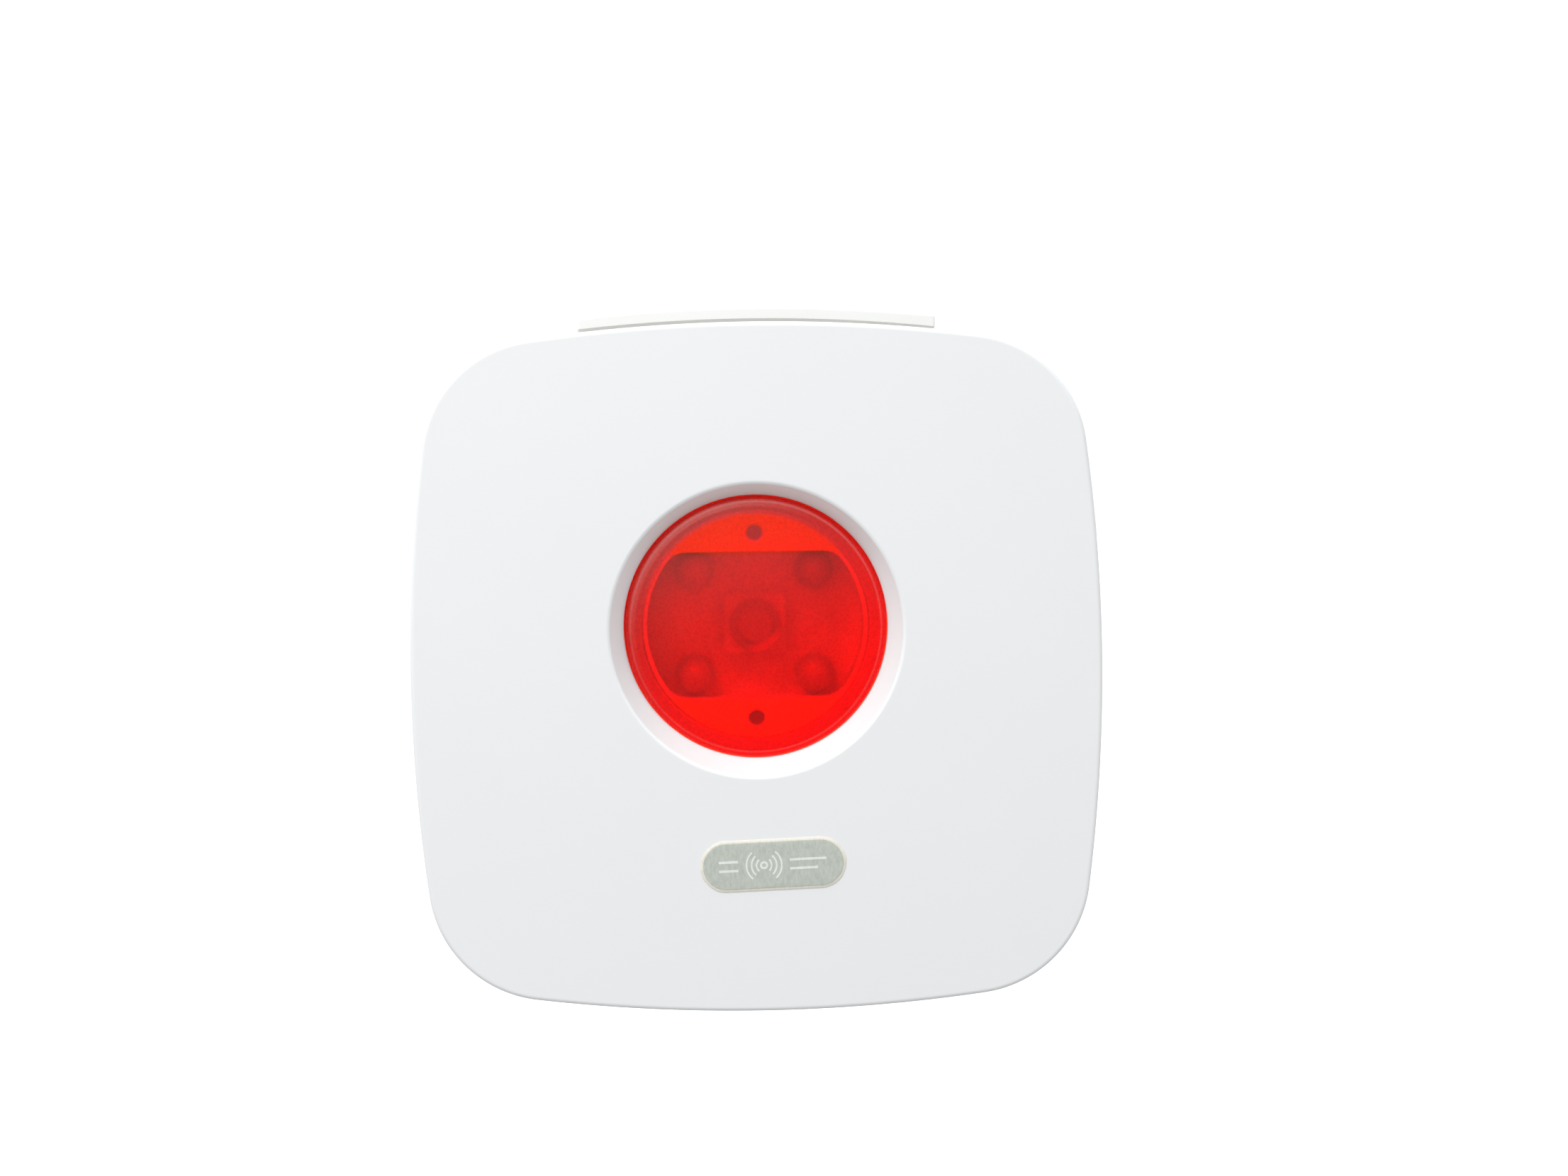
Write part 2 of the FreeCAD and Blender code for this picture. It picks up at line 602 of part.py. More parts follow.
def drive_transistor():
    body = box(7.5, 10.5, BOARD_Y1 + 0.1, BOARD_Y1 + 1.2, 4, 5.6)
    for x, z0 in ((8.1, 3.2), (9.9, 3.2), (9.0, 5.4)):  # legs
        body = body.fuse(box(x - 0.25, x + 0.25, BOARD_Y1, BOARD_Y1 + 0.4, z0, z0 + 1.0))
    return body.removeSplitter()


def chip_resistors():
    places = ((8, 20), (8, 23), (8, 26), (-8, 20), (-8, 23), (12, 30), (15, 30), (-15, 24))
    return Part.makeCompound(
        [centred_box(x, z, 1.0, 0.6, BOARD_Y1, BOARD_Y1 + 0.55) for x, z in places]
    )


# ---- sounder ----------------------------------------------------------------
STEP_Y1 = SOUNDER_Y0 + 6.0  # inner step that carries the disc's rim


def sounder_housing():
    z, y0, y1 = SOUNDER_Z, SOUNDER_Y0, SOUNDER_Y1
    housing = cyl(SOUNDER_R, 0, z, y0, y1)
    housing = housing.makeChamfer(0.5, edges_at_y(housing, y0) + edges_at_y(housing, y1))
    housing = housing.cut(cyl(SOUNDER_R - 1.2, 0, z, y0 + 1.2, y1 - 1.5))
    housing = housing.cut(cyl(3.0, 0, z, y0 - 1, y0 + 2))
    step = tube(SOUNDER_R - 1.0, SOUNDER_R - 2.2, 0, z, STEP_Y1 - 1.0, STEP_Y1)
    return housing.fuse(step).removeSplitter()


def piezo_disc():
    disc = cyl(SOUNDER_R - 1.3, 0, SOUNDER_Z, STEP_Y1 + TOUCH, STEP_Y1 + 0.31)
    disc = disc.fuse(cyl(SOUNDER_R - 4.0, 0, SOUNDER_Z, STEP_Y1 + 0.2, STEP_Y1 + 0.55))
    return disc.removeSplitter()


def sounder_wire(x):
    z = SOUNDER_Z + 7
    points = [(x, SOUNDER_Y1 + TOUCH, z), (x, BOARD_Y, z), (x, BOARD_Y, BOARD_Z0 - TOUCH)]
    return lead(points, r=0.5, bend=1.6)


# ---- power switch -----------------------------------------------------------
def power_box(x0, x1, half_y, half_z, z=POWER_Z):
    return box(x0, x1, POWER_Y - half_y, POWER_Y + half_y, z - half_z, z + half_z)


def power_switch_body():
    body = power_box(POWER_X0, POWER_X1, 2.2, 4.3)
    body = body.cut(power_box(POWER_X1 - 1.9, POWER_X1 - 0.5, 1.6, 3.7))
    return body.cut(power_box(POWER_X1 - 1.0, POWER_X1 + 1, 1.1, 2.9))


def power_switch_slider():
    z = POWER_Z - POWER_TRAVEL / 2  # at the lower end of its travel
    base = power_box(POWER_X1 - 1.8, POWER_X1 - 0.6, 1.5, 2.0, z)
    stem = power_box(POWER_X1 - 0.7, 46.4, 1.0, 1.2, z)
    for k in (-1, 0, 1):  # grip grooves
        stem = stem.cut(power_box(46.1, 47, 2, 0.15, z + 0.7 * k))
    return fuse(base, stem)


def switch_wire(z):
    points = [
        (POWER_X0 - TOUCH, POWER_Y, z),
        (POWER_X0 - 3.0, POWER_Y, z),
        (33.4, BOARD_Y, z + 8.0),
        (BOARD_X + TOUCH, BOARD_Y, z + 8.0),
    ]
    return lead(points, r=0.45, bend=1.0)


# ---- cells, contacts and their springs --------------------------------------
def cell(z, side):
    """AAA cell whose positive end points to side, 1 right or -1 left."""
    tip_x = side * (CONTACT_X - TOUCH)
    shoulder_x = tip_x - side * NUB_L
    body = cylx(CELL_R, CELL_Y, z, tip_x - side * CELL_L, shoulder_x)
    rims = []
    for edge in body.Edges:
        bounds = edge.BoundBox
        if abs(bounds.XMax - bounds.XMin) < 0.01 and bounds.YMax - bounds.YMin > 5:
            rims.append(edge)
    body = body.makeFillet(0.4, rims)
    nub = cylx(NUB_R, CELL_Y, z, shoulder_x - side * 0.2, tip_x)
    return body.fuse(nub).removeSplitter()


def cell_spring(z, side):
    """Hollow cone at the cell's negative end."""
    length = 2 * CONTACT_X - CELL_L - 0.03
    base = Vector(-side * (CONTACT_X - TOUCH), CELL_Y, z)
    axis = Vector(side, 0, 0)
    outer = Part.makeCone(4.2, 2.8, length, base, axis)
    return outer.cut(Part.makeCone(3.6, 2.2, length, base, axis))


def contact(side, z0, z1):
    """Contact plate on the bay's right (1) or left (-1) wall."""
    x0, x1 = sorted((side * CONTACT_X, side * BAY_HALF_X))
    return box(x0, x1, CONTACT_Y0, CONTACT_Y1, z0, z1)


def contact_positive():
    plate = contact(1, CELL_Z[0] - CONTACT_HALF_Z, BAY_Z1 - END_GAP)
    tab = box(CONTACT_X, BAY_HALF_X, POS_TAB_Y0, POS_TAB_Y1, BAY_Z1 - 1, BAY_Z1 + 3.6)
    return plate.fuse(tab).removeSplitter()


def contact_negative():
    z = CELL_Z[2]
    plate = contact(-1, BAY_Z0 + END_GAP, z + CONTACT_HALF_Z)
    z0, z1 = z - NEG_TAB_HALF_Z, z + NEG_TAB_HALF_Z
    tab = box(NEG_TAB_X, -CONTACT_X, NEG_TAB_Y0, NEG_TAB_Y1, z0, z1)
    return plate.fuse(tab).removeSplitter()


def battery_wires():
    x = (CONTACT_X + BAY_HALF_X) / 2
    board_y = BOARD_Y1 + 0.02
    positive = [(x, -8.0, BAY_Z1 + 3.62), (x, -8.0, -1.5), (24.0, -9.5, 2.6), (24.0, board_y, 2.6)]
    negative = [
        (NEG_TAB_X - 0.02, -9.3, CELL_Z[2]),
        (-30.3, -9.3, CELL_Z[2]),
        (-30.1, -11.0, -9.9),
        (-30.1, board_y, -9.9),
    ]
    return Part.makeCompound([lead(positive, r=0.5, bend=2.0), lead(negative, r=0.45, bend=1.2)])


# ---- all pieces -------------------------------------------------------------
CELL_SIDES = (1, -1, 1)  # which way each positive end points, top to bottom

parts = {
    "front_cover": front_cover(),
    "rear_cover": rear_cover(),
    "battery_door": battery_door(),
    "wall_bracket": wall_bracket(),
    "badge_label": badge_label(),
    "button_cap": button_cap(),
    "return_spring_upper": return_spring(1),
    "return_spring_lower": return_spring(-1),
    "reflector_plate": reflector_plate(),
    "strobe_leds": strobe_leds(),
    "push_switch_body": push_switch_body(),
    "push_switch_plunger": push_switch_plunger(),
    "main_board": main_board(),
    "board_screws": Part.makeCompound([board_screw(x, z) for x, z in BOARD_SCREWS]),
    "case_screws": Part.makeCompound([case_screw(x, z) for x, z in CASE_SCREWS]),
    "storage_capacitor": capacitor(4.0, x=-20, z=12, height=6.4, edge_r=0.4),
    "timing_capacitor": capacitor(2.5, x=-12, z=5, height=5.2, edge_r=0.3),
    "boost_coil": boost_coil(),
    "controller_chip": controller_chip(),
    "drive_transistor": drive_transistor(),
    "chip_resistors": chip_resistors(),
    "sounder_housing": sounder_housing(),
    "piezo_disc": piezo_disc(),
    "sounder_wires": Part.makeCompound([sounder_wire(x) for x in (-2.0, 2.0)]),
    "power_switch_body": power_switch_body(),
    "power_switch_slider": power_switch_slider(),
    "switch_wires": Part.makeCompound([switch_wire(POWER_Z + dz) for dz in (-1.4, 1.4)]),
    "cell_springs": Part.makeCompound([cell_spring(*item) for item in zip(CELL_Z, CELL_SIDES)]),
    "contact_positive": contact_positive(),
    "contact_negative": contact_negative(),
    "contact_link_left": contact(-1, CELL_Z[1] - CONTACT_HALF_Z, BAY_Z1 - END_GAP),
    "contact_link_right": contact(1, BAY_Z0 + END_GAP, CELL_Z[1] + CONTACT_HALF_Z),
    "battery_wires": battery_wires(),
}
for name, z, side in zip(("cell_upper", "cell_middle", "cell_lower"), CELL_Z, CELL_SIDES):
    parts[name] = cell(z, side)

os.makedirs("parts", exist_ok=True)
for name, shape in parts.items():
    shape.translate(Vector(-BRACKET_X, 0, -ORIGIN_Z))
    shape.exportStep("parts/" + name + ".step")
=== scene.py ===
import math

import bmesh
import bpy
import numpy as np
from mathutils import Matrix, Vector

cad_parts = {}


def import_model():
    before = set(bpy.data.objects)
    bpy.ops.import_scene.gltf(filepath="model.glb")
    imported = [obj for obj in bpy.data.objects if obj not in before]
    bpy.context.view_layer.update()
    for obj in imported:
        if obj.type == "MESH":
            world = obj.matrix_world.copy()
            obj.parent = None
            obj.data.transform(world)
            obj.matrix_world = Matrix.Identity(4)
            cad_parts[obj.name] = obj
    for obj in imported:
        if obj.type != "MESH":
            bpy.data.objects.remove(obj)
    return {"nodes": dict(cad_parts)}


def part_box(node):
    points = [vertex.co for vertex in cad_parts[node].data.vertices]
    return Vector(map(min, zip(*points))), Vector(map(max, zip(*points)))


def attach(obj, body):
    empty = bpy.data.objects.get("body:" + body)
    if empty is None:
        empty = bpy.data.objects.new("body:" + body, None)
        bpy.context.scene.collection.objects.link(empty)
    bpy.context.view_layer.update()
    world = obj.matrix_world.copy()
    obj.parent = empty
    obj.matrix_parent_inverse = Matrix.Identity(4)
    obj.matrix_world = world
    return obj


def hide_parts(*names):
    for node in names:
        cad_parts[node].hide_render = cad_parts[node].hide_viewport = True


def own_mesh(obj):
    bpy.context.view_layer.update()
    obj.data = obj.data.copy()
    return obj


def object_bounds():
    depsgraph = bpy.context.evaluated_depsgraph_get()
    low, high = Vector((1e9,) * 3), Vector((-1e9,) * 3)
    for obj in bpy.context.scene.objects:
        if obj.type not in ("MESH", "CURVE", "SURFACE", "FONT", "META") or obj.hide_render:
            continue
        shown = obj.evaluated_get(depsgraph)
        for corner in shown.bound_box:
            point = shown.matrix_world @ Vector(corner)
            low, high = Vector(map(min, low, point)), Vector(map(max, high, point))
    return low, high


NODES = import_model()["nodes"]
cad_lo, cad_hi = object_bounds()

# ---------------------------------------------------------------- the frame
# Shapes are in millimetres: x and z from the case's centre line, y as in the row frame.
# Materials, lights and the camera are in metres in the row frame.
cover_lo, cover_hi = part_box("front_cover")
X_MID = (cover_lo.x + cover_hi.x) / 2  # metres
Z_MID = (cover_lo.z + cover_hi.z) / 2
FRONT = cover_lo.y * 1000
SEAM = cover_hi.y * 1000


def middle(node):
    """The middle of a CAD piece, in millimetres."""
    lo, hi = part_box(node)
    return (
        ((lo.x + hi.x) / 2 - X_MID) * 1000,
        (lo.y + hi.y) / 2 * 1000,
        ((lo.z + hi.z) / 2 - Z_MID) * 1000,
    )


BUTTON_Z = middle("button_cap")[2]
BUTTON_Z_ROW = Z_MID + BUTTON_Z * 0.001  # metres

# Case outline: bowed sides joined by round corners, narrower towards the front
HALF, SIDE_R, CORNER_R = 48.0, 240.0, 17.1
DRAFT = math.tan(math.radians(1.2))
WALL = 2.0
FACE_WALL = 2.2
EDGE = 0.6  # rounding round the front face and the funnel's rim

# The funnel round the button: its rim, its straight bore, and their distances behind the face
RIM_R, FUNNEL_R, FUNNEL_DEPTH, FUNNEL_FOOT = 20.4, 18.45, 6.5, 13.7
FUNNEL_WALL = 1.7

# Button cap, and the two pins above and below its middle
CAP_R, SKIRT_R, BOSS_R = 18.25, 16.1, 3.6
CAP_EDGE = 0.5
PIN_R, PIN_OFFSET = 1.1, 13.0

LAMP_FOOT = FRONT + 17.2
LAMP_X, LAMP_Z = 8.35, 7.2


# ---------------------------------------------------------------- mesh tools
def draft(y):
    """How much further out than the front outline the case's wall is drawn in at y."""
    return (y - FRONT) * DRAFT


def outline(per_quarter):
    """Points and outward normals round the case's outline."""
    side_mid = HALF - SIDE_R
    corner_mid = (side_mid + math.sqrt(2 * (SIDE_R - CORNER_R) ** 2 - side_mid * side_mid)) / 2
    half_angle = math.atan2(corner_mid, corner_mid - side_mid)
    side_length = SIDE_R * 2 * half_angle
    corner_length = CORNER_R * (math.pi / 2 - 2 * half_angle)
    points, normals = [], []
    for quarter in range(4):
        turn = quarter * math.pi / 2
        cos_turn, sin_turn = math.cos(turn), math.sin(turn)
        for i in range(per_quarter):
            run = (side_length + corner_length) * i / per_quarter
            if run < side_length:
                angle = -half_angle + run / SIDE_R
                x, z = side_mid + SIDE_R * math.cos(angle), SIDE_R * math.sin(angle)
            else:
                angle = half_angle + (run - side_length) / CORNER_R
                x = corner_mid + CORNER_R * math.cos(angle)
                z = corner_mid + CORNER_R * math.sin(angle)
            points.append((x * cos_turn - z * sin_turn, x * sin_turn + z * cos_turn))
            normals.append((math.cos(angle + turn), math.sin(angle + turn)))
    return np.array(points), np.array(normals)


OUTLINE, NORMALS = outline(per_quarter=128)
BEARINGS = np.arctan2(OUTLINE[:, 1] - BUTTON_Z, OUTLINE[:, 0])  # seen from the button's axis


def ring_outline(inset, y):
    points = OUTLINE - NORMALS * inset
    return np.column_stack([points[:, 0], np.full(len(points), y), points[:, 1]])


def ring_circle(radius, y, x=0.0, z=BUTTON_Z, angles=BEARINGS):
    """A ring round a Y axis. radius may be one number or one for each angle."""
    return np.column_stack(
        [x + radius * np.cos(angles), np.full(len(angles), y), z + radius * np.sin(angles)]
    )


def full_turn(count):
    return np.arange(count) * 2 * math.pi / count


def smooth_mesh(ob):
    ob.data.polygons.foreach_set("use_smooth", [True] * len(ob.data.polygons))


def shade(ob, angle=30.0):
    smooth_mesh(ob)
    ob.data.set_sharp_from_angle(angle=math.radians(angle))
    ob.data.update()


def new_object(name, verts, faces, angle=30.0):
    """An object from millimetre points, sharp where faces meet at more than angle."""
    placed = np.asarray(verts, float) * 0.001 + np.array([X_MID, 0, Z_MID])
    mesh = bpy.data.meshes.new(name)
    mesh.from_pydata([tuple(v) for v in placed], [], faces)
    bm = bmesh.new()
    bm.from_mesh(mesh)
    bmesh.ops.remove_doubles(bm, verts=bm.verts, dist=1e-7)
    bmesh.ops.recalc_face_normals(bm, faces=bm.faces)
    bm.to_mesh(mesh)
    bm.free()
    ob = bpy.data.objects.new(name, mesh)
    bpy.context.scene.collection.objects.link(ob)
    shade(ob, angle)
    return ob


def loft(rings, loop=False):
    """Quads between rings of equal count. loop joins the last to the first, otherwise
    both ends are capped."""
    count, total = len(rings[0]), len(rings)
    faces = []
    for i in range(total if loop else total - 1):
        j = (i + 1) % total
        for k in range(count):
            k2 = (k + 1) % count
            faces.append((i * count + k, i * count + k2, j * count + k2, j * count + k))
    if not loop:
        faces.append(tuple(range(count)))
        faces.append(tuple(range((total - 1) * count, total * count)))
    return np.concatenate(rings), faces


def revolve(profile, x, z, count):
    """A solid round the Y axis through (x, z) from (radius, y) pairs."""
    return loft([ring_circle(r, y, x, z, full_turn(count)) for r, y in profile])


def arc(r_mid, y_mid, radius, start, end, steps):
    """(radius, y) points on an arc, angles from +r towards +y in degrees."""
    angles = [math.radians(start + (end - start) * i / steps) for i in range(steps + 1)]
    return [(r_mid + radius * math.cos(a), y_mid + radius * math.sin(a)) for a in angles]


def apply_boolean(ob, tools, operation="DIFFERENCE"):
    for tool in tools:
        cut = ob.modifiers.new("cut", "BOOLEAN")
        cut.operation = operation
        cut.solver = "EXACT"
        cut.object = tool
    depsgraph = bpy.context.evaluated_depsgraph_get()
    depsgraph.update()
    mesh = bpy.data.meshes.new_from_object(ob.evaluated_get(depsgraph))
    ob.modifiers.clear()
    old = ob.data
    ob.data = mesh
    bpy.data.meshes.remove(old)
    for tool in tools:
        bpy.data.objects.remove(tool, do_unlink=True)
    shade(ob)


def prism(name, points, axis, start, end):
    """A cutter: a closed outline in the other two axes, swept along an axis."""
    position = "xyz".index(axis)
    rings = [np.insert(np.array(points, float), position, v, axis=1) for v in (start, end)]
    return new_object(name, *loft(rings))


def tube_along(points, radius, count):
    """Round tube through points, with rings square to the path."""
    path = np.asarray(points, float)
    tangents = np.gradient(path, axis=0)
    tangents /= np.linalg.norm(tangents, axis=1)[:, None]
    side = np.cross(tangents[0], [0.31, 0.87, 0.37])  # any direction off the path
    side /= np.linalg.norm(side)
    angles = full_turn(count)
    rings = []
    for point, tangent in zip(path, tangents):
        side = side - tangent * (side @ tangent)
        side /= np.linalg.norm(side)
        other = np.cross(tangent, side)
        offsets = np.outer(np.cos(angles), side) + np.outer(np.sin(angles), other)
        rings.append(point + radius * offsets)
    return loft(rings)


def join(parts):
    verts, faces, base = [], [], 0
    for part_verts, part_faces in parts:
        verts.append(part_verts)
        faces += [tuple(i + base for i in face) for face in part_faces]
        base += len(part_verts)
    return np.concatenate(verts), faces


# ---------------------------------------------------------------- node tools
MATERIALS = {}
SPREAD = (0.3, 0.7)  # where most of a noise's values lie


class Nodes:
    """The node tree of a material or world, with short calls for building it."""

    def __init__(self, owner, output):
        owner.use_nodes = True
        self.tree = owner.node_tree
        self.tree.nodes.clear()
        self.out = self.add(output)

    def put(self, socket, value):
        """Links a socket, or sets a number, vector or RGB colour."""
        if isinstance(value, bpy.types.NodeSocket):
            self.tree.links.new(value, socket)
            return
        if socket.type == "RGBA":
            value = (*value, 1.0)
        socket.default_value = value

    def add(self, kind, **inputs):
        """A node and its inputs, named with underscores for spaces."""
        node = self.tree.nodes.new("ShaderNode" + kind)
        for name, value in inputs.items():
            self.put(node.inputs[name.replace("_", " ")], value)
        return node

    def scaled(self, scale, rot=(0, 0, 0)):
        node = self.add("Mapping", Scale=scale, Rotation=rot, Vector=self.pos)
        return node.outputs["Vector"]

    def noise(self, scale, detail=2.0, rough=0.5, vec=None, dist=0.0):
        node = self.add(
            "TexNoise",
            Scale=scale,
            Detail=detail,
            Roughness=rough,
            Distortion=dist,
            Vector=vec or self.pos,
        )
        return node.outputs["Fac"]

    def voronoi(self, scale, feature="F1", vec=None):
        node = self.add("TexVoronoi", Scale=scale, Vector=vec or self.pos)
        node.feature = feature
        return node.outputs["Distance"]

    def ramp(self, value, span, to=(0.0, 1.0), kind="LINEAR"):
        """Maps value from span to another range, clamped."""
        node = self.add(
            "MapRange",
            From_Min=span[0],
            From_Max=span[1],
            To_Min=to[0],
            To_Max=to[1],
            Value=value,
        )
        node.interpolation_type = kind
        return node.outputs["Result"]

    def calc(self, operation, a, b=0.0):
        node = self.add("Math")
        node.operation = operation
        self.put(node.inputs[0], a)
        self.put(node.inputs[1], b)
        return node.outputs[0]

    def dot(self, vector, direction):
        node = self.add("VectorMath")
        node.operation = "DOT_PRODUCT"
        self.put(node.inputs[0], vector)
        self.put(node.inputs[1], direction)
        return node.outputs["Value"]

    def mix(self, fac, a, b):
        """Colour mix."""
        node = self.add("Mix")
        node.data_type = "RGBA"
        for index, value in ((0, fac), (6, a), (7, b)):
            self.put(node.inputs[index], value)
        return node.outputs[2]

    def mix_shaders(self, fac, a, b):
        node = self.add("MixShader")
        for index, value in enumerate((fac, a.outputs[0], b.outputs[0])):
            self.put(node.inputs[index], value)
        return node

    def bump(self, height, strength, distance, normal=None):
        node = self.add("Bump", Strength=strength, Distance=distance, Height=height)
        if normal is not None:
            self.put(node.inputs["Normal"], normal)
        return node.outputs["Normal"]

    def axis(self, index):
        return self.add("SeparateXYZ", Vector=self.pos).outputs[index]

    def finish(self, shader):
        self.put(self.out.inputs["Surface"], shader.outputs[0])


def material(name):
    """A new material's nodes. pos is the place on the object, in metres."""
    mat = bpy.data.materials.new(name)
    n = Nodes(mat, "OutputMaterial")
    n.pos = n.add("TexCoord").outputs["Object"]
    mat.cycles.emission_sampling = "NONE"
    MATERIALS[name] = mat
    return n


def set_material(ob, *names):
    ob.data.materials.clear()
    for name in names:
        ob.data.materials.append(MATERIALS[name])


# ---------------------------------------------------------------- plastics and metals
def white_plastic(name, colour, tint, rough, grain, lit=None):
    """Injection-moulded satin plastic: faint flow tone, fine spark grain, handling smears.
    lit is a painted glow: emission that brightens the piece and lifts its shaded slit."""
    n = material(name)
    flow = n.noise(scale=38.0, detail=3.0, rough=0.55, dist=0.6)
    cloud = n.noise(scale=160.0, detail=4.0, rough=0.6)
    base = n.mix(n.ramp(flow, SPREAD), colour, tint)
    speck = n.ramp(n.voronoi(scale=520.0), span=(0.0, 0.035), to=(1.0, 0.0))
    sparse = n.ramp(n.noise(scale=95.0, detail=1.0), span=(0.66, 0.7))
    dust = n.calc("MULTIPLY", n.calc("MULTIPLY", speck, sparse), 0.28)
    base = n.mix(dust, base, (0.42, 0.40, 0.38))
    slanted = n.scaled((1.0, 1.0, 3.2), rot=(0.0, 0.45, 0.0))
    smear = n.noise(scale=26.0, detail=4.0, rough=0.6, vec=slanted, dist=0.8)
    smeared = n.ramp(smear, span=(0.55, 0.8), to=(rough, rough - 0.02))
    clouded = n.ramp(cloud, span=(0.2, 0.8), to=(-0.01, 0.01))
    roughness = n.calc("ADD", smeared, clouded)
    fine = n.noise(scale=5200.0, rough=0.6)
    peel = n.noise(scale=420.0)
    normal = n.bump(fine, strength=grain * 0.35, distance=0.000012)
    normal = n.bump(peel, strength=0.25, distance=0.000006, normal=normal)
    shader = n.add(
        "BsdfPrincipled",
        Base_Color=base,
        Roughness=roughness,
        IOR=1.5,
        Normal=normal,
        Specular_IOR_Level=0.5,
    )
    # painted glow: emission standing in for light that would fall on the piece
    if lit:
        n.put(shader.inputs["Emission Color"], lit)
        n.put(shader.inputs["Emission Strength"], 1.0)
    n.finish(shader)


def metal(name, colour, dark, rough, scratch=(1.0, 1.0, 14.0)):
    """Patchy metal with fine scratches. scratch is how tightly they pack along each axis."""
    n = material(name)
    patch = n.noise(scale=700.0, detail=3.0, rough=0.6)
    lines = n.noise(scale=900.0, detail=4.0, rough=0.6, vec=n.scaled(scratch))
    shader = n.add(
        "BsdfPrincipled",
        Base_Color=n.mix(n.ramp(patch, span=(0.35, 0.75)), colour, dark),
        Metallic=1.0,
        Roughness=n.ramp(lines, SPREAD, to=(rough - 0.06, rough + 0.12)),
        Normal=n.bump(lines, strength=0.2, distance=0.000015),
    )
    n.finish(shader)


def dark_plastic(name, colour, worn, rough, grain_scale):
    n = material(name)
    grain = n.noise(scale=grain_scale, detail=3.0, rough=0.6)
    cloud = n.noise(scale=220.0, detail=3.0, rough=0.6)
    shader = n.add(
        "BsdfPrincipled",
        Base_Color=n.mix(n.ramp(cloud, span=(0.3, 0.75)), colour, worn),
        Roughness=n.ramp(cloud, SPREAD, to=(rough - 0.07, rough + 0.07)),
        Normal=n.bump(grain, strength=0.4, distance=0.00003),
        IOR=1.48,
    )
    n.finish(shader)


# name, colour, tint of the flow marks, roughness, grain, painted glow
WHITES = (
    ("case_white", (0.882, 0.886, 0.893), (0.872, 0.878, 0.887), 0.3, 0.35),
    ("case_white_rear", (0.86, 0.865, 0.875), (0.84, 0.85, 0.862), 0.36, 0.8),
    ("door_white", (0.865, 0.87, 0.875), (0.845, 0.85, 0.86), 0.34, 0.8),
    # the bracket's painted glow lifts its shaded slit and tab, standing in for light
    ("bracket_cream", (0.56, 0.56, 0.55), (0.54, 0.54, 0.525), 0.38, 0.6, (0.215, 0.215, 0.205)),
    ("reflector_white", (0.90, 0.90, 0.89), (0.88, 0.88, 0.87), 0.30, 0.3),
)
# name, colour, colour of the dark patches, roughness, scratch packing
METALS = (
    ("screw_zinc", (0.55, 0.55, 0.53), (0.40, 0.40, 0.39), 0.34),
    ("spring_wire", (0.62, 0.62, 0.63), (0.45, 0.45, 0.46), 0.22),
    ("nickel_strip", (0.70, 0.68, 0.63), (0.56, 0.54, 0.50), 0.27),
    ("piezo_brass", (0.72, 0.53, 0.22), (0.55, 0.38, 0.15), 0.3, (1, 14, 1)),
)
# name, colour, colour where worn, roughness, grain scale
PLASTICS = (
    ("switch_black", (0.018, 0.018, 0.019), (0.032, 0.032, 0.033), 0.5, 2400.0),
    ("slider_black", (0.022, 0.022, 0.024), (0.05, 0.05, 0.05), 0.42, 2400.0),
    ("chip_epoxy", (0.02, 0.02, 0.022), (0.04, 0.04, 0.04), 0.6, 4200.0),
    ("coil_ferrite", (0.05, 0.045, 0.043), (0.08, 0.072, 0.066), 0.62, 1800.0),
    ("capacitor_sleeve", (0.012, 0.013, 0.035), (0.03, 0.03, 0.06), 0.28, 2400.0),
    ("sounder_black", (0.02, 0.02, 0.02), (0.035, 0.034, 0.033), 0.55, 2400.0),
    ("wire_red", (0.45, 0.015, 0.012), (0.36, 0.012, 0.012), 0.4, 2400.0),
    ("wire_black", (0.018, 0.018, 0.018), (0.03, 0.03, 0.03), 0.4, 2400.0),
    ("plunger_grey", (0.42, 0.41, 0.39), (0.37, 0.36, 0.34), 0.4, 2400.0),
    ("push_switch_pale", (0.51, 0.50, 0.475), (0.47, 0.46, 0.435), 0.45, 2400.0),
)
for recipe, rows in ((white_plastic, WHITES), (metal, METALS), (dark_plastic, PLASTICS)):
    for row in rows:
        recipe(*row)


# ---------------------------------------------------------------- red cap materials
CAP_CLEAR = 0.78  # share of the face that is film rather than solid red
# painted glow: the face's red emits a little light though it is no lamp
CAP_PAINTED_GLOW = 0.12
LOWER_RIGHT = (0.5, 0.0, -0.866)
PAINTED_SHEEN_FADE = (-0.018, 0.016)  # metres towards the lower right over which the coat's painted reflection darkens


def towards_lower_right(n):
    """Metres from the button's middle towards the lower right."""
    middle_along = X_MID * LOWER_RIGHT[0] + BUTTON_Z_ROW * LOWER_RIGHT[2]
    return n.calc("SUBTRACT", n.dot(n.pos, LOWER_RIGHT), middle_along)


def length(n, a, b):
    """The length of a two-part vector."""
    return n.calc("SQRT", n.calc("ADD", n.calc("MULTIPLY", a, a), n.calc("MULTIPLY", b, b)))


def cap_body(n, mottle, roughness, normal):
    """The solid red of the face, with a faint painted red glow."""
    flow = n.noise(scale=60.0)
    base = n.mix(n.ramp(mottle, SPREAD), (0.95, 0.006, 0.006), (1.0, 0.010, 0.009))
    streak = n.ramp(flow, span=(0.35, 0.65), to=(0.0, 0.35))
    return n.add(
        "BsdfPrincipled",
        Base_Color=n.mix(streak, base, (0.92, 0.004, 0.010)),
        Roughness=roughness,
        IOR=1.46,
        Normal=normal,
        Emission_Color=(1.0, 0.02, 0.01),
        Emission_Strength=CAP_PAINTED_GLOW,
    )


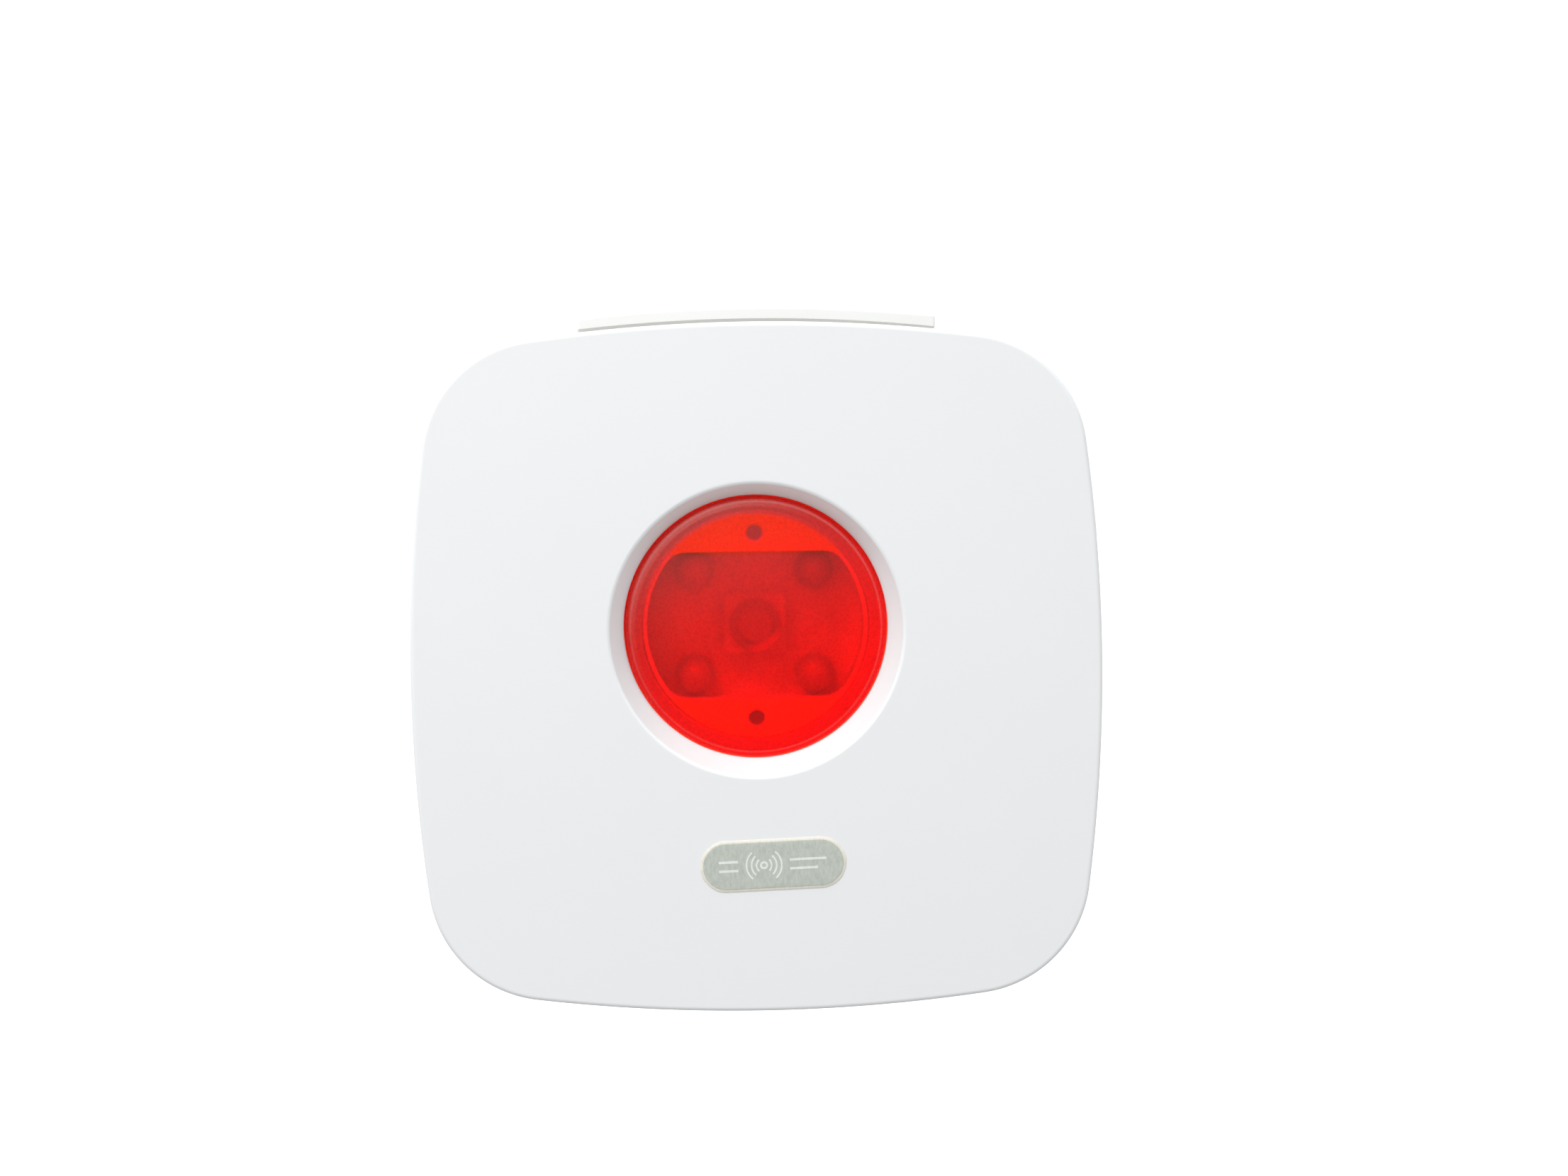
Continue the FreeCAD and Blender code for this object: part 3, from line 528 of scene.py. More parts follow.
def painted_rim_highlight(n, across, rise, radius):
    """The rounded rim's painted highlight: a thin line all round and a broad one at the upper
    left, with a painted sheen step over the skirt ring there.
    Returns the line and the whole."""
    upper_left = n.calc(
        "ADD", n.calc("MULTIPLY", across, -0.75), n.calc("MULTIPLY", rise, 0.66)
    )
    upper_left = n.ramp(n.calc("DIVIDE", upper_left, radius), span=(0.2, 0.85))
    off_line = n.calc("ABSOLUTE", n.calc("SUBTRACT", radius, 0.01758))
    line = n.ramp(off_line, span=(0.00008, 0.00022), to=(0.05, 0.0))
    broad = n.calc(
        "MULTIPLY",
        n.ramp(radius, span=(0.0168, 0.01705)),
        n.ramp(radius, span=(0.01745, 0.01765), to=(0.05, 0.0)),
    )
    step = n.ramp(radius, span=(0.0157, 0.0161), to=(0.0, 0.013))
    patch = n.calc("MULTIPLY", upper_left, n.calc("ADD", broad, step))
    return line, n.calc("ADD", line, patch)


def painted_sheen_tone(n, across, rise, radius):
    """The coat's tint, a painted reflection: it fades towards the lower right, and a painted
    orange glow warms it over the reflector plate, but not over the pins.
    """
    low = towards_lower_right(n)
    tone = n.mix(n.ramp(low, PAINTED_SHEEN_FADE), (1.0, 0.80, 0.70), (0.38, 0.06, 0.11))
    painted_plate_glow = n.mix(n.ramp(low, PAINTED_SHEEN_FADE), (1.0, 0.66, 0.10), (0.38, 0.08, 0.0))
    plate = n.calc(
        "MULTIPLY",
        n.ramp(n.calc("ABSOLUTE", rise), span=(0.0099, 0.0105)),
        n.ramp(radius, span=(0.0155, 0.0161), to=(1.0, 0.0)),
    )
    from_pin = n.calc("SUBTRACT", n.calc("ABSOLUTE", rise), PIN_OFFSET * 0.001)
    from_pin = length(n, n.calc("ABSOLUTE", from_pin), across)
    off_pins = n.ramp(from_pin, span=(0.0010, 0.0014))
    return n.mix(n.calc("MULTIPLY", plate, off_pins), tone, painted_plate_glow)


def cap_film(n, across, rise, radius, roughness, normal):
    """The see-through part of the face, under a glossy coat."""
    frost = n.ramp(n.noise(scale=2900.0, rough=0.6), span=(0.38, 0.62))
    see = n.add(
        "BsdfRefraction",
        Color=n.mix(frost, (0.88, 0.064, 0.009), (1.06, 0.082, 0.010)),
        IOR=1.22,
        Roughness=0.34,
    )
    line, painted_highlight = painted_rim_highlight(n, across, rise, radius)
    tone = painted_sheen_tone(n, across, rise, radius)
    coat = n.add(
        "BsdfGlossy",
        Color=n.mix(n.ramp(line, span=(0.0, 0.05)), tone, (1.0, 0.85, 0.75)),
        Roughness=roughness,
        Normal=normal,
    )
    fresnel = n.add("Fresnel", IOR=1.46, Normal=normal).outputs[0]
    return n.mix_shaders(n.calc("ADD", fresnel, painted_highlight), see, coat)


def cap_face():
    """Translucent red moulding with a frosted, slightly grainy face. Light on its way to what lies
    behind passes it as a red filter that brightens the red, painted light inside the cavity.
    What it throws on to the white funnel round it is kept pale, with painted shade at the funnel's
    top."""
    n = material("cap_red")
    grain = n.noise(scale=5200.0, detail=3.0, rough=0.7)
    mottle = n.noise(scale=900.0, detail=3.0, rough=0.6)
    roughness = n.ramp(mottle, SPREAD, to=(0.16, 0.24))
    normal = n.bump(grain, strength=0.16, distance=0.00002)
    across = n.calc("SUBTRACT", n.axis(0), X_MID)
    rise = n.calc("SUBTRACT", n.axis(2), BUTTON_Z_ROW)
    radius = length(n, across, rise)
    body = cap_body(n, mottle, roughness, normal)
    film = cap_film(n, across, rise, radius, roughness, normal)
    clear = n.ramp(grain, span=(0.25, 0.75), to=(CAP_CLEAR - 0.04, CAP_CLEAR + 0.04))
    seen = n.mix_shaders(clear, body, film)

    # the filter passes 1.86 times the red: painted light inside the cavity
    brightening_red_filter = n.add("BsdfTransparent", Color=(1.86, 0.17, 0.05))
    path = n.add("LightPath").outputs
    backfacing = n.add("NewGeometry").outputs["Backfacing"]
    gather = n.calc("MAXIMUM", path["Is Shadow Ray"], path["Is Diffuse Ray"])
    filtered = n.mix_shaders(n.calc("MAXIMUM", gather, backfacing), seen, brightening_red_filter)

    # the darker warm colour towards the top is painted shade on the funnel's upper wall
    upper = n.ramp(rise, span=(0.007, 0.015))
    pale = n.add("BsdfDiffuse", Color=n.mix(upper, (0.82, 0.80, 0.79), (0.48, 0.30, 0.21)))
    outside = n.calc("SUBTRACT", 1.0, backfacing)
    caught = n.calc("MAXIMUM", gather, n.calc("MULTIPLY", path["Is Glossy Ray"], 0.5))
    n.finish(n.mix_shaders(n.calc("MULTIPLY", caught, outside), filtered, pale))


def cap_inside(name, clear, glow, span=(-0.016, 0.016), depth=1.0):
    """The moulding's hidden side: smooth, more or less clear. glow is a painted glow: emission
    that rises towards the lower right, painted light there and painted shade at the upper left,
    from least to most over span in metres. depth scales the red; below 1 it darkens the red as
    painted shade."""
    n = material(name)
    mottle = n.noise(scale=700.0, detail=3.0, rough=0.6)
    dark, bright = (0.90 * depth, 0.006, 0.006), (1.0 * depth, 0.012, 0.010)
    body = n.add(
        "BsdfPrincipled",
        Base_Color=n.mix(n.ramp(mottle, SPREAD), dark, bright),
        Roughness=n.ramp(mottle, SPREAD, to=(0.25, 0.4)),
        Normal=n.bump(mottle, strength=0.2, distance=0.00003),
        Emission_Color=(1.0, 0.01, 0.004),
        Emission_Strength=n.ramp(towards_lower_right(n), span, to=glow),
    )
    tint = n.mix(n.ramp(mottle, SPREAD), (1.0, 0.6, 0.6), (1.0, 0.7, 0.7))
    through = n.add("BsdfTransparent", Color=tint)
    path = n.add("LightPath").outputs
    gather = n.calc("MAXIMUM", path["Is Shadow Ray"], path["Is Diffuse Ray"])
    n.finish(n.mix_shaders(n.calc("MAXIMUM", gather, clear), body, through))


cap_face()
# painted light and shade: the skirt ring dark at the upper left and lit at the lower right, the
# boss darkened with a painted lit crescent at its lower edge, the pins darkened into shaded dots
# with a steady painted glow
cap_inside("cap_red_inner", clear=0.97, glow=(0.0, 0.05))
cap_inside("cap_red_boss", clear=0.55, glow=(0.0, 0.85), span=(0.0020, 0.0030), depth=0.17)
cap_inside("cap_red_pin", clear=0.35, glow=(0.3, 0.26), depth=0.5)
cap_inside("cap_red_skirt", clear=0.12, glow=(0.04, 0.42))


# ---------------------------------------------------------------- other materials
def led_material():
    """Hazy epoxy, darker at the upper right lamp."""
    n = material("led_epoxy")
    haze = n.noise(scale=700.0, detail=3.0, rough=0.6)
    swirl = n.noise(scale=240.0)
    base = n.mix(n.ramp(swirl, SPREAD), (0.35, 0.35, 0.36), (0.41, 0.41, 0.40))
    upper_right = n.calc(
        "MULTIPLY",
        n.ramp(n.axis(0), span=(X_MID + 0.004, X_MID + 0.005)),
        n.ramp(n.axis(2), span=(BUTTON_Z_ROW, BUTTON_Z_ROW + 0.001)),
    )
    shader = n.add(
        "BsdfPrincipled",
        Base_Color=n.mix(upper_right, base, (0.26, 0.23, 0.23)),
        Roughness=n.ramp(haze, SPREAD, to=(0.3, 0.42)),
        IOR=1.5,
        Transmission_Weight=0.15,
        Normal=n.bump(haze, strength=0.15, distance=0.00002),
    )
    n.finish(shader)


def board_material():
    """White solder mask over copper, with pads and traces as faint relief."""
    n = material("board_mask")
    turned = n.scaled((1.0, 1.0, 1.0), rot=(math.pi / 2, 0, 0))
    weave = n.add("TexBrick", Scale=420.0, Mortar_Size=0.03, Vector=turned)
    weave.offset = 0.5
    flat = (1.0, 0.0, 1.0)  # the pattern runs straight through the board's thickness
    cells = n.voronoi(scale=190.0, feature="DISTANCE_TO_EDGE", vec=n.scaled(flat))
    trace = n.ramp(cells, span=(0.05, 0.075), to=(1.0, 0.0))
    base = n.mix(n.calc("MULTIPLY", trace, 0.5), (0.63, 0.62, 0.59), (0.54, 0.52, 0.48))
    # painted light and shade: brighter to the right where light falls on the cup's wall, painted
    # shade to the left, a little painted light below the lamps
    right = n.ramp(n.axis(0), span=(X_MID + 0.0110, X_MID + 0.0142))
    base = n.mix(right, base, (0.96, 0.93, 0.87))
    left = n.ramp(n.axis(0), span=(X_MID - 0.0098, X_MID - 0.0125), to=(0.0, 0.6))
    base = n.mix(left, base, (0.47, 0.45, 0.42))
    low = BUTTON_Z_ROW - LAMP_Z * 0.001
    painted_light_below = n.ramp(n.axis(2), span=(low, low - 0.0025), to=(0.0, 0.3))
    base = n.mix(painted_light_below, base, (0.84, 0.81, 0.76))
    dots = n.voronoi(scale=330.0, vec=n.scaled(flat))
    dots = n.ramp(dots, span=(0.07, 0.09), to=(1.0, 0.0))
    base = n.mix(n.calc("MULTIPLY", dots, 0.8), base, (0.62, 0.60, 0.56))
    relief = n.calc("ADD", trace, n.calc("MULTIPLY", weave.outputs["Fac"], 0.2))
    shader = n.add(
        "BsdfPrincipled",
        Base_Color=base,
        Roughness=n.ramp(dots, span=(0.0, 1.0), to=(0.42, 0.22)),
        Normal=n.bump(relief, strength=0.4, distance=0.00004),
    )
    n.finish(shader)


def cell_material():
    """Battery sleeve: dark along the middle, copper-coloured at the ends, with fine flakes."""
    n = material("cell_sleeve")
    ends = n.ramp(n.calc("ABSOLUTE", n.axis(0)), span=(0.0135, 0.0137))
    flake = n.noise(scale=2600.0, detail=3.0, rough=0.6)
    base = n.mix(ends, (0.03, 0.05, 0.09), (0.50, 0.20, 0.06))
    flaked = n.ramp(flake, span=(0.45, 0.8), to=(0.0, 0.35))
    wave = n.noise(scale=90.0)
    shader = n.add(
        "BsdfPrincipled",
        Base_Color=n.mix(flaked, base, (0.30, 0.30, 0.30)),
        Metallic=0.55,
        Roughness=n.ramp(wave, SPREAD, to=(0.2, 0.32)),
        Normal=n.bump(flake, strength=0.12, distance=0.00002),
    )
    n.finish(shader)


def badge_material(name, dark, light, patch):
    """Foil with short slanted speckle and soft patches of another tone."""
    n = material(name)
    slanted = n.scaled((1.0, 1.0, 0.45), rot=(0.0, 0.6, 0.0))
    speckle = n.noise(scale=3200.0, rough=0.7, vec=slanted)
    patches = n.noise(scale=1100.0, detail=3.0, rough=0.6)
    base = n.mix(n.ramp(speckle, span=(0.35, 0.65)), dark, light)
    shader = n.add(
        "BsdfPrincipled",
        Base_Color=n.mix(n.ramp(patches, span=(0.4, 0.75), to=(0.0, 0.45)), base, patch),
        Metallic=0.0,
        Roughness=n.ramp(speckle, SPREAD, to=(0.38, 0.55)),
        Normal=n.bump(speckle, strength=0.3, distance=0.00003),
    )
    n.finish(shader)


led_material()
board_material()
cell_material()
# name, dark speckle, light speckle, patches
for row in (
    ("badge_foil", (0.46, 0.50, 0.44), (0.56, 0.59, 0.53), (0.60, 0.62, 0.55)),
    ("badge_rim", (0.78, 0.74, 0.64), (0.86, 0.82, 0.72), (0.84, 0.80, 0.70)),
    ("badge_print", (0.76, 0.79, 0.74), (0.84, 0.86, 0.82), (0.82, 0.84, 0.8)),
):
    badge_material(*row)


def fit(ob, node, ride="case"):
    """Puts an object in the place of a CAD piece."""
    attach(ob, ride)
    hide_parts(node)


# ---------------------------------------------------------------- front cover
def shell_outside():
    """Rings from the seam forward over the side wall and across the face to the funnel."""
    rings = [
        ring_outline(draft(SEAM) + 0.25, SEAM),
        ring_outline(draft(SEAM) + 0.07, SEAM - 0.07),
        ring_outline(draft(SEAM - 0.25), SEAM - 0.25),
    ]
    y_top = FRONT + EDGE
    for y in np.linspace(SEAM - 0.6, y_top + 0.25, 12):
        rings.append(ring_outline(draft(y), y))
    inset = EDGE + draft(y_top)
    for i in range(11):
        angle = math.radians(90 * i / 10)
        y = y_top - EDGE * math.sin(angle)
        rings.append(ring_outline(inset - EDGE * math.cos(angle), y))
    for extra in (0.08, 0.3, 0.9):
        rings.append(ring_outline(inset + extra, FRONT))
    outer, inner = ring_outline(inset + 1.8, FRONT), ring_circle(21.6, FRONT)
    rings += [outer * (1 - s) + inner * s for s in np.linspace(0, 1, 15)]
    rings += [ring_circle(r, FRONT) for r in (21.2, 20.95)]
    return rings


def shell_funnel():
    """Rings over the rim, down the cone and bore, and back up the funnel's outer side."""
    rings = []
    turn = math.pi / 2 - math.atan((RIM_R - FUNNEL_R) / FUNNEL_DEPTH)
    lip_r = RIM_R + EDGE * math.tan(turn / 2)
    for i in range(11):
        angle = turn * i / 10
        y = FRONT + EDGE - EDGE * math.cos(angle)
        rings.append(ring_circle(lip_r - EDGE * math.sin(angle), y))
    cone_r, cone_y = lip_r - EDGE * math.sin(turn), FRONT + EDGE - EDGE * math.cos(turn)
    bore_y = FRONT + FUNNEL_DEPTH
    for s in (0.03, 0.08, 0.3, 0.6, 0.9, 0.975, 0.995):
        rings.append(ring_circle(cone_r + (FUNNEL_R - cone_r) * s, cone_y + (bore_y - cone_y) * s))
    foot = FRONT + FUNNEL_FOOT
    for y in (bore_y + 0.05, bore_y + 0.25, bore_y + 3, foot - 0.2):
        rings.append(ring_circle(FUNNEL_R, y))
    rings.append(ring_circle(FUNNEL_R + 0.15, foot))
    for y in (foot, FRONT + 10, bore_y):
        rings.append(ring_circle(FUNNEL_R + FUNNEL_WALL, y))
    return rings


def shell_inside():
    """Rings across the back of the face and along the side wall to the seam."""
    y_in = FRONT + FACE_WALL
    rings = [ring_circle(21.64, y_in)]
    inner, outer = ring_circle(22.2, y_in), ring_outline(WALL + 0.6 + draft(y_in), y_in)
    rings += [inner * (1 - s) + outer * s for s in np.linspace(0, 1, 8)]
    for y in (y_in, *np.linspace(y_in + 1, SEAM, 7)):
        rings.append(ring_outline(WALL + draft(y), y))
    return rings


def switch_cutters():
    """The power switch's window in the right side and the thumbnail dish round it."""
    _, y, z = middle("power_switch_body")
    half_y, half_z = 1.5, 2.95
    window = [(y + s * half_y, z + t * half_z) for s, t in ((-1, -1), (1, -1), (1, 1), (-1, 1))]
    dish_x, dish_r, dish_half = 54.75, 9.0, 3.6
    dish = [(dish_x + dish_r * math.cos(a), z + dish_r * math.sin(a)) for a in full_turn(128)]
    return [
        prism("cut_window", window, "x", 42.0, 52.0),
        prism("cut_dish", dish, "y", y - dish_half, y + dish_half),
    ]


def slot_cutters():
    """Five round-ended sound slots in the underside."""
    half_width, pitch = 0.9, 6.0
    cutters = []
    for i in range(-2, 3):
        points = []
        for end_y, start in ((-21.4, 0.0), (-28.6, math.pi)):
            for k in range(17):
                angle = start + math.pi * k / 16
                x = i * pitch + half_width * math.cos(angle)
                points.append((x, end_y + half_width * math.sin(angle)))
        cutters.append(prism("cut_slot", points, "z", -54.0, -42.5))
    return cutters


def front_cover():
    rings = shell_outside() + shell_funnel() + shell_inside()
    ob = new_object("front_shell", *loft(rings, loop=True))
    apply_boolean(ob, switch_cutters() + slot_cutters())
    set_material(ob, "case_white")
    fit(ob, "front_cover")


front_cover()


# ---------------------------------------------------------------- button cap
def cap_profile(edge_y, under):
    """(radius, y) from the domed face's middle, round the skirt, to the middle underneath."""
    face_r, dome = CAP_R - CAP_EDGE, 0.6
    foot, flange = FRONT + 15.0, FRONT + 13.73
    boss_in, boss_end = BOSS_R - 1.0, FRONT + 11.58
    points = [(0.35, edge_y - dome)]
    for r in np.linspace(1.2, face_r - 0.4, 22):
        points.append((r, edge_y - dome + dome * (r / face_r) ** 2))
    points += arc(face_r, edge_y + CAP_EDGE, CAP_EDGE, start=-86, end=0, steps=9)
    points += [(CAP_R, y) for y in (edge_y + 0.75, FRONT + 10.5, FRONT + 13.6, flange)]
    points += [(19.25, flange), (19.4, FRONT + 13.88), (19.4, foot)]
    points += [(SKIRT_R, y) for y in (foot, FRONT + 14.7, under + 0.9)]
    points += arc(SKIRT_R - 0.5, under + 0.5, 0.5, start=0, end=-90, steps=5)
    points += [(14.6, under), (4.2, under), (3.75, under)]
    points += [(BOSS_R, under + 0.15), (BOSS_R, boss_end - 0.1), (BOSS_R - 0.1, boss_end)]
    points += [(boss_in + 0.1, boss_end), (boss_in, boss_end - 0.1), (boss_in, under + 0.15)]
    points += [(boss_in - 0.1, under), (0.35, under)]
    return points


def cap_slot(centre, edge_y):
    """Material slot for a face by its centre: frosted outside, clearer inside."""
    x, z = (centre.x - X_MID) * 1000, (centre.z - Z_MID) * 1000 - BUTTON_Z
    radius = math.hypot(x, z)
    if centre.y * 1000 < edge_y + 0.7:
        return 0
    if radius < BOSS_R + 0.05:
        return 3
    if min(math.hypot(x, z - pin) for pin in (-PIN_OFFSET, PIN_OFFSET)) < PIN_R + 0.02:
        return 4
    return 1 if radius < SKIRT_R - 0.1 else 2


def button_cap():
    edge_y, under = FRONT + 6.0, FRONT + 7.8
    ob = new_object("cap_moulding", *revolve(cap_profile(edge_y, under), 0, BUTTON_Z, 256))
    # (radius, y): each pin steps down to a thinner tip
    pin = [(PIN_R, under - 0.4), (PIN_R, FRONT + 13.05), (0.95, FRONT + 13.2)]
    pin += [(0.8, FRONT + 13.2), (0.8, FRONT + 14.1), (0.7, FRONT + 14.2)]
    pins = [
        new_object("pin", *revolve(pin, 0, BUTTON_Z + s * PIN_OFFSET, 40)) for s in (-1, 1)
    ]
    apply_boolean(ob, pins, "UNION")
    set_material(
        ob, "cap_red", "cap_red_inner", "cap_red_skirt", "cap_red_boss", "cap_red_pin"
    )
    slots = [cap_slot(face.center, edge_y) for face in ob.data.polygons]
    ob.data.polygons.foreach_set("material_index", slots)
    fit(ob, "button_cap", ride="button")


button_cap()


# ---------------------------------------------------------------- reflector plate
WINDOW_HALF, WINDOW_R, WINDOW_FILLET = 10.25, 15.2, 3.4


def window_radii(angles, grow):
    """Distance to the window's edge at each angle. It is flat above and below and round at
    left and right, with filleted corners. grow widens the flats and fillets."""
    half, fillet = WINDOW_HALF + grow, WINDOW_FILLET + grow
    corner_z = half - fillet
    corner_x = math.sqrt((WINDOW_R - fillet) ** 2 - corner_z**2)
    flat_from = math.atan2(half, corner_x)
    round_until = math.atan2(corner_z, corner_x)
    radii = []
    for angle in angles:
        a = math.atan2(abs(math.sin(angle)), abs(math.cos(angle)))
        if a >= flat_from:
            r = half / math.sin(a)
        elif a <= round_until:
            r = WINDOW_R
        else:
            d = corner_x * math.cos(a) + corner_z * math.sin(a)
            r = d + math.sqrt(max(0, d * d - corner_x**2 - corner_z**2 + fillet * fillet))
        radii.append(r)
    return np.array(radii)


def reflector_plate():
    angles = full_turn(360)
    top, foot = FRONT + 9.8, FRONT + 17.19
    under = top + 1.25
    outer = WINDOW_R + 0.65
    window = window_radii(angles, 0.0)
    lip = np.minimum(window_radii(angles, 0.3), WINDOW_R + 0.25)
    wall = np.minimum(window_radii(angles, 0.8), WINDOW_R + 0.08)
    # radius, y: down from the outer foot, over the top, and through the window and back
    stations = (
        (outer, foot),
        (outer, top + 0.35),
        (outer - 0.08, top + 0.1),
        (outer - 0.25, top),
        (lip, top),
        (window + 0.08, top + 0.06),
        (window, top + 0.3),
        (window, foot),
        (wall, foot),
        (wall, under),
        (np.maximum(wall, WINDOW_R + 0.09), under),
        (WINDOW_R + 0.1, foot),
    )
    rings = [ring_circle(r, y, angles=angles) for r, y in stations]
    ob = new_object("reflector", *loft(rings, loop=True))
    hole = [(1.19, top - 2), (1.19, top + 2)]
    holes = [
        new_object("pin_hole", *revolve(hole, 0, BUTTON_Z + s * PIN_OFFSET, 48))
        for s in (-1, 1)
    ]
    apply_boolean(ob, holes)
    set_material(ob, "reflector_white")
    fit(ob, "reflector_plate")


reflector_plate()


# ---------------------------------------------------------------- strobe lamps
def strobe_lamps():
    """Four lamps, each a collar and a barrel with a round front end."""
    radius, barrel = 2.5, 4.7
    # radius, height in front of the foot
    profile = [(2.6, 0), (2.7, 0.1), (2.7, 0.9), (2.6, 1.0), (radius, 1.02), (radius, barrel)]
    for degrees in np.linspace(9, 87, 10):
        a = math.radians(degrees)
        profile.append((radius * math.cos(a), barrel + radius * math.sin(a)))
    profile = [(r, LAMP_FOOT - height) for r, height in profile]
    parts = [
        revolve(profile, side * LAMP_X, BUTTON_Z + level * LAMP_Z, 48)
        for side in (-1, 1)
        for level in (-1, 1)
    ]
    ob = new_object("lamps", *join(parts))
    set_material(ob, "led_epoxy")
    fit(ob, "strobe_leds")


strobe_lamps()


# ---------------------------------------------------------------- springs
def coil(base, along, across, radii, length, turns, wire):
    """Compression spring from base, with close-wound ends. It starts on the across side, and
    its radius runs from the first of radii to the second. wire is the wire's radius."""
    closed = 0.8  # turns wound close at each end
    base, along, across = (np.array(v, float) for v in (base, along, across))
    steps = int(turns * 28)
    points = []
    for i in range(steps + 1):
        turn = turns * (i / steps)
        angle = 2 * math.pi * turn
        s = min(1.0, max(0.0, (turn - closed) / (turns - 2 * closed)))
        rise = wire + (length - 2 * wire) * s
        r = radii[0] + (radii[1] - radii[0]) * s
        up = np.array([0, 0, r * math.sin(angle)])
        points.append(base + across * (r * math.cos(angle)) + along * rise + up)
    return tube_along(points, wire, 12)


def return_spring(name, node):
    lo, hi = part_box(node)
    x, _, z = middle(node)
    y_front, y_back = lo.y * 1000, hi.y * 1000
    length = y_back - y_front
    parts = coil(
        base=(x, y_front, z),
        along=(0, 1, 0),
        across=(1, 0, 0),
        radii=(1.28, 1.28),
        length=length,
        turns=4.6,
        wire=0.2,
    )
    ob = new_object(name, *parts, angle=60)
    set_material(ob, "spring_wire")
    fit(ob, node)
    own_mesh(ob)


def cell_coils():
    """A tapering spring at one end of each cell, on alternate sides."""
    parts = []
    for node, side in (("cell_upper", 1), ("cell_middle", -1), ("cell_lower", 1)):
        _, y, z = middle(node)
        parts.append(
            coil(
                base=(-side * 25.19, y, z),
                along=(side, 0, 0),
                across=(0, 1, 0),
                radii=(3.9, 2.5),
                length=5.85,
                turns=4.2,
                wire=0.3,
            )
        )
    ob = new_object("cell_coils", *join(parts), angle=60)
    set_material(ob, "spring_wire")
    fit(ob, "cell_springs")


return_spring("coil_upper", "return_spring_upper")
return_spring("coil_lower", "return_spring_lower")
cell_coils()


# ---------------------------------------------------------------- badge
BADGE_X, _, BADGE_Z = middle("badge_label")
BADGE_LENGTH, BADGE_END_R = 20.3, 3.6
BADGE_TILT = math.radians(2.0)
PRINT_HEIGHT = 0.228  # in front of the case's face


def on_badge(points, height):
    """Points in the badge's own length and width, placed at a height in front of the face."""
    c, s = math.cos(BADGE_TILT), math.sin(BADGE_TILT)
    y = FRONT - height
    return np.array(
        [(BADGE_X + u * c - w * s, y, BADGE_Z + u * s + w * c) for u, w in points]
    )


def stadium(inset, height, wobble=0.0):
    """The badge's round-ended outline. wobble makes its ends uneven."""
    half_straight = BADGE_LENGTH / 2 - BADGE_END_R
    points = []
    for side in (1, -1):
        for k in range(49):
            a = -math.pi / 2 + math.pi * k / 48
            r = BADGE_END_R - inset
            r += wobble * (math.sin(7 * a + side) * 0.5 + math.sin(17 * a) * 0.3)
            points.append((side * (half_straight + r * math.cos(a)), side * r * math.sin(a)))
    return on_badge(points, height)


def strip(points, width):
    """Thin raised strip along points on the badge."""
    path = np.array(points, float)
    tangents = np.gradient(path, axis=0)
    tangents /= np.linalg.norm(tangents, axis=1)[:, None]
    offset = np.column_stack([-tangents[:, 1], tangents[:, 0]]) * width / 2
    edge = np.concatenate([path + offset, (path - offset)[::-1]])
    count = len(edge)
    verts = np.concatenate([on_badge(edge, PRINT_HEIGHT + h) for h in (-0.01, 0.02)])
    faces = [(k, (k + 1) % count, count + (k + 1) % count, count + k) for k in range(count)]
    for k in range(len(path) - 1):
        for first in (count, 0):
            last = first + count - 1
            faces.append((first + k, first + k + 1, last - 1 - k, last - k))
    return verts, faces


def print_strips():
    """A dot between arcs that open to both sides, and pairs of bars left and right of them."""
    dot_x = -1.3

    def curve(radius, angles):
        return [(dot_x + radius * math.cos(a), radius * math.sin(a)) for a in angles]

    parts = []
    for radius in (1.05, 1.75, 2.45):
        for heading in (0.0, math.pi):
            angles = heading + np.linspace(-0.85, 0.85, 20)
            parts.append(strip(curve(radius, angles), 0.24))
    parts.append(strip(curve(0.42, np.linspace(0, 2 * math.pi, 33)), 0.3))
    for z, right_end in ((0.62, 7.4), (-0.62, 6.2)):
        parts.append(strip([(x, z) for x in np.linspace(2.3, right_end, 8)], 0.34))
        parts.append(strip([(x, z) for x in np.linspace(-7.6, -4.9, 6)], 0.34))
    return join(parts)


def badge():
    """Sticker with a soft domed edge, a paler uneven rim and a plain print."""
    # inset, height, wobble
    rim_rings = ((0.0, 0.0, 0.05), (0.0, 0.05, 0.05), (0.1, 0.12, 0.04), (0.34, 0.17, 0.0))
    # inset, height
    face_rings = ((0.36, 0.10), (0.36, 0.19), (0.42, 0.215), (0.55, 0.225), (0.9, 0.23))
    rim = new_object("badge_rim", *loft([stadium(*ring) for ring in rim_rings]))
    face = new_object("badge_face", *loft([stadium(*ring) for ring in face_rings]))
    printed = new_object("badge_print", *print_strips())
    for ob, name in ((rim, "badge_rim"), (face, "badge_foil"), (printed, "badge_print")):
        set_material(ob, name)
        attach(ob, "case")
    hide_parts("badge_label")


badge()


# ---------------------------------------------------------------- CAD pieces that stay
def soften(ob):
    """Smooth shading on a CAD piece without touching its vertices."""
    attributes = ob.data.attributes
    if "custom_normal" in attributes:
        attributes.remove(attributes["custom_normal"])
    smooth_mesh(ob)
    weld = ob.modifiers.new("weld", "WELD")
    weld.merge_threshold = 1e-6
    edges = ob.modifiers.new("edges", "EDGE_SPLIT")
    edges.use_edge_angle = True
    edges.split_angle = math.radians(30.0)
    normals = ob.modifiers.new("normals", "WEIGHTED_NORMAL")
    normals.keep_sharp = True


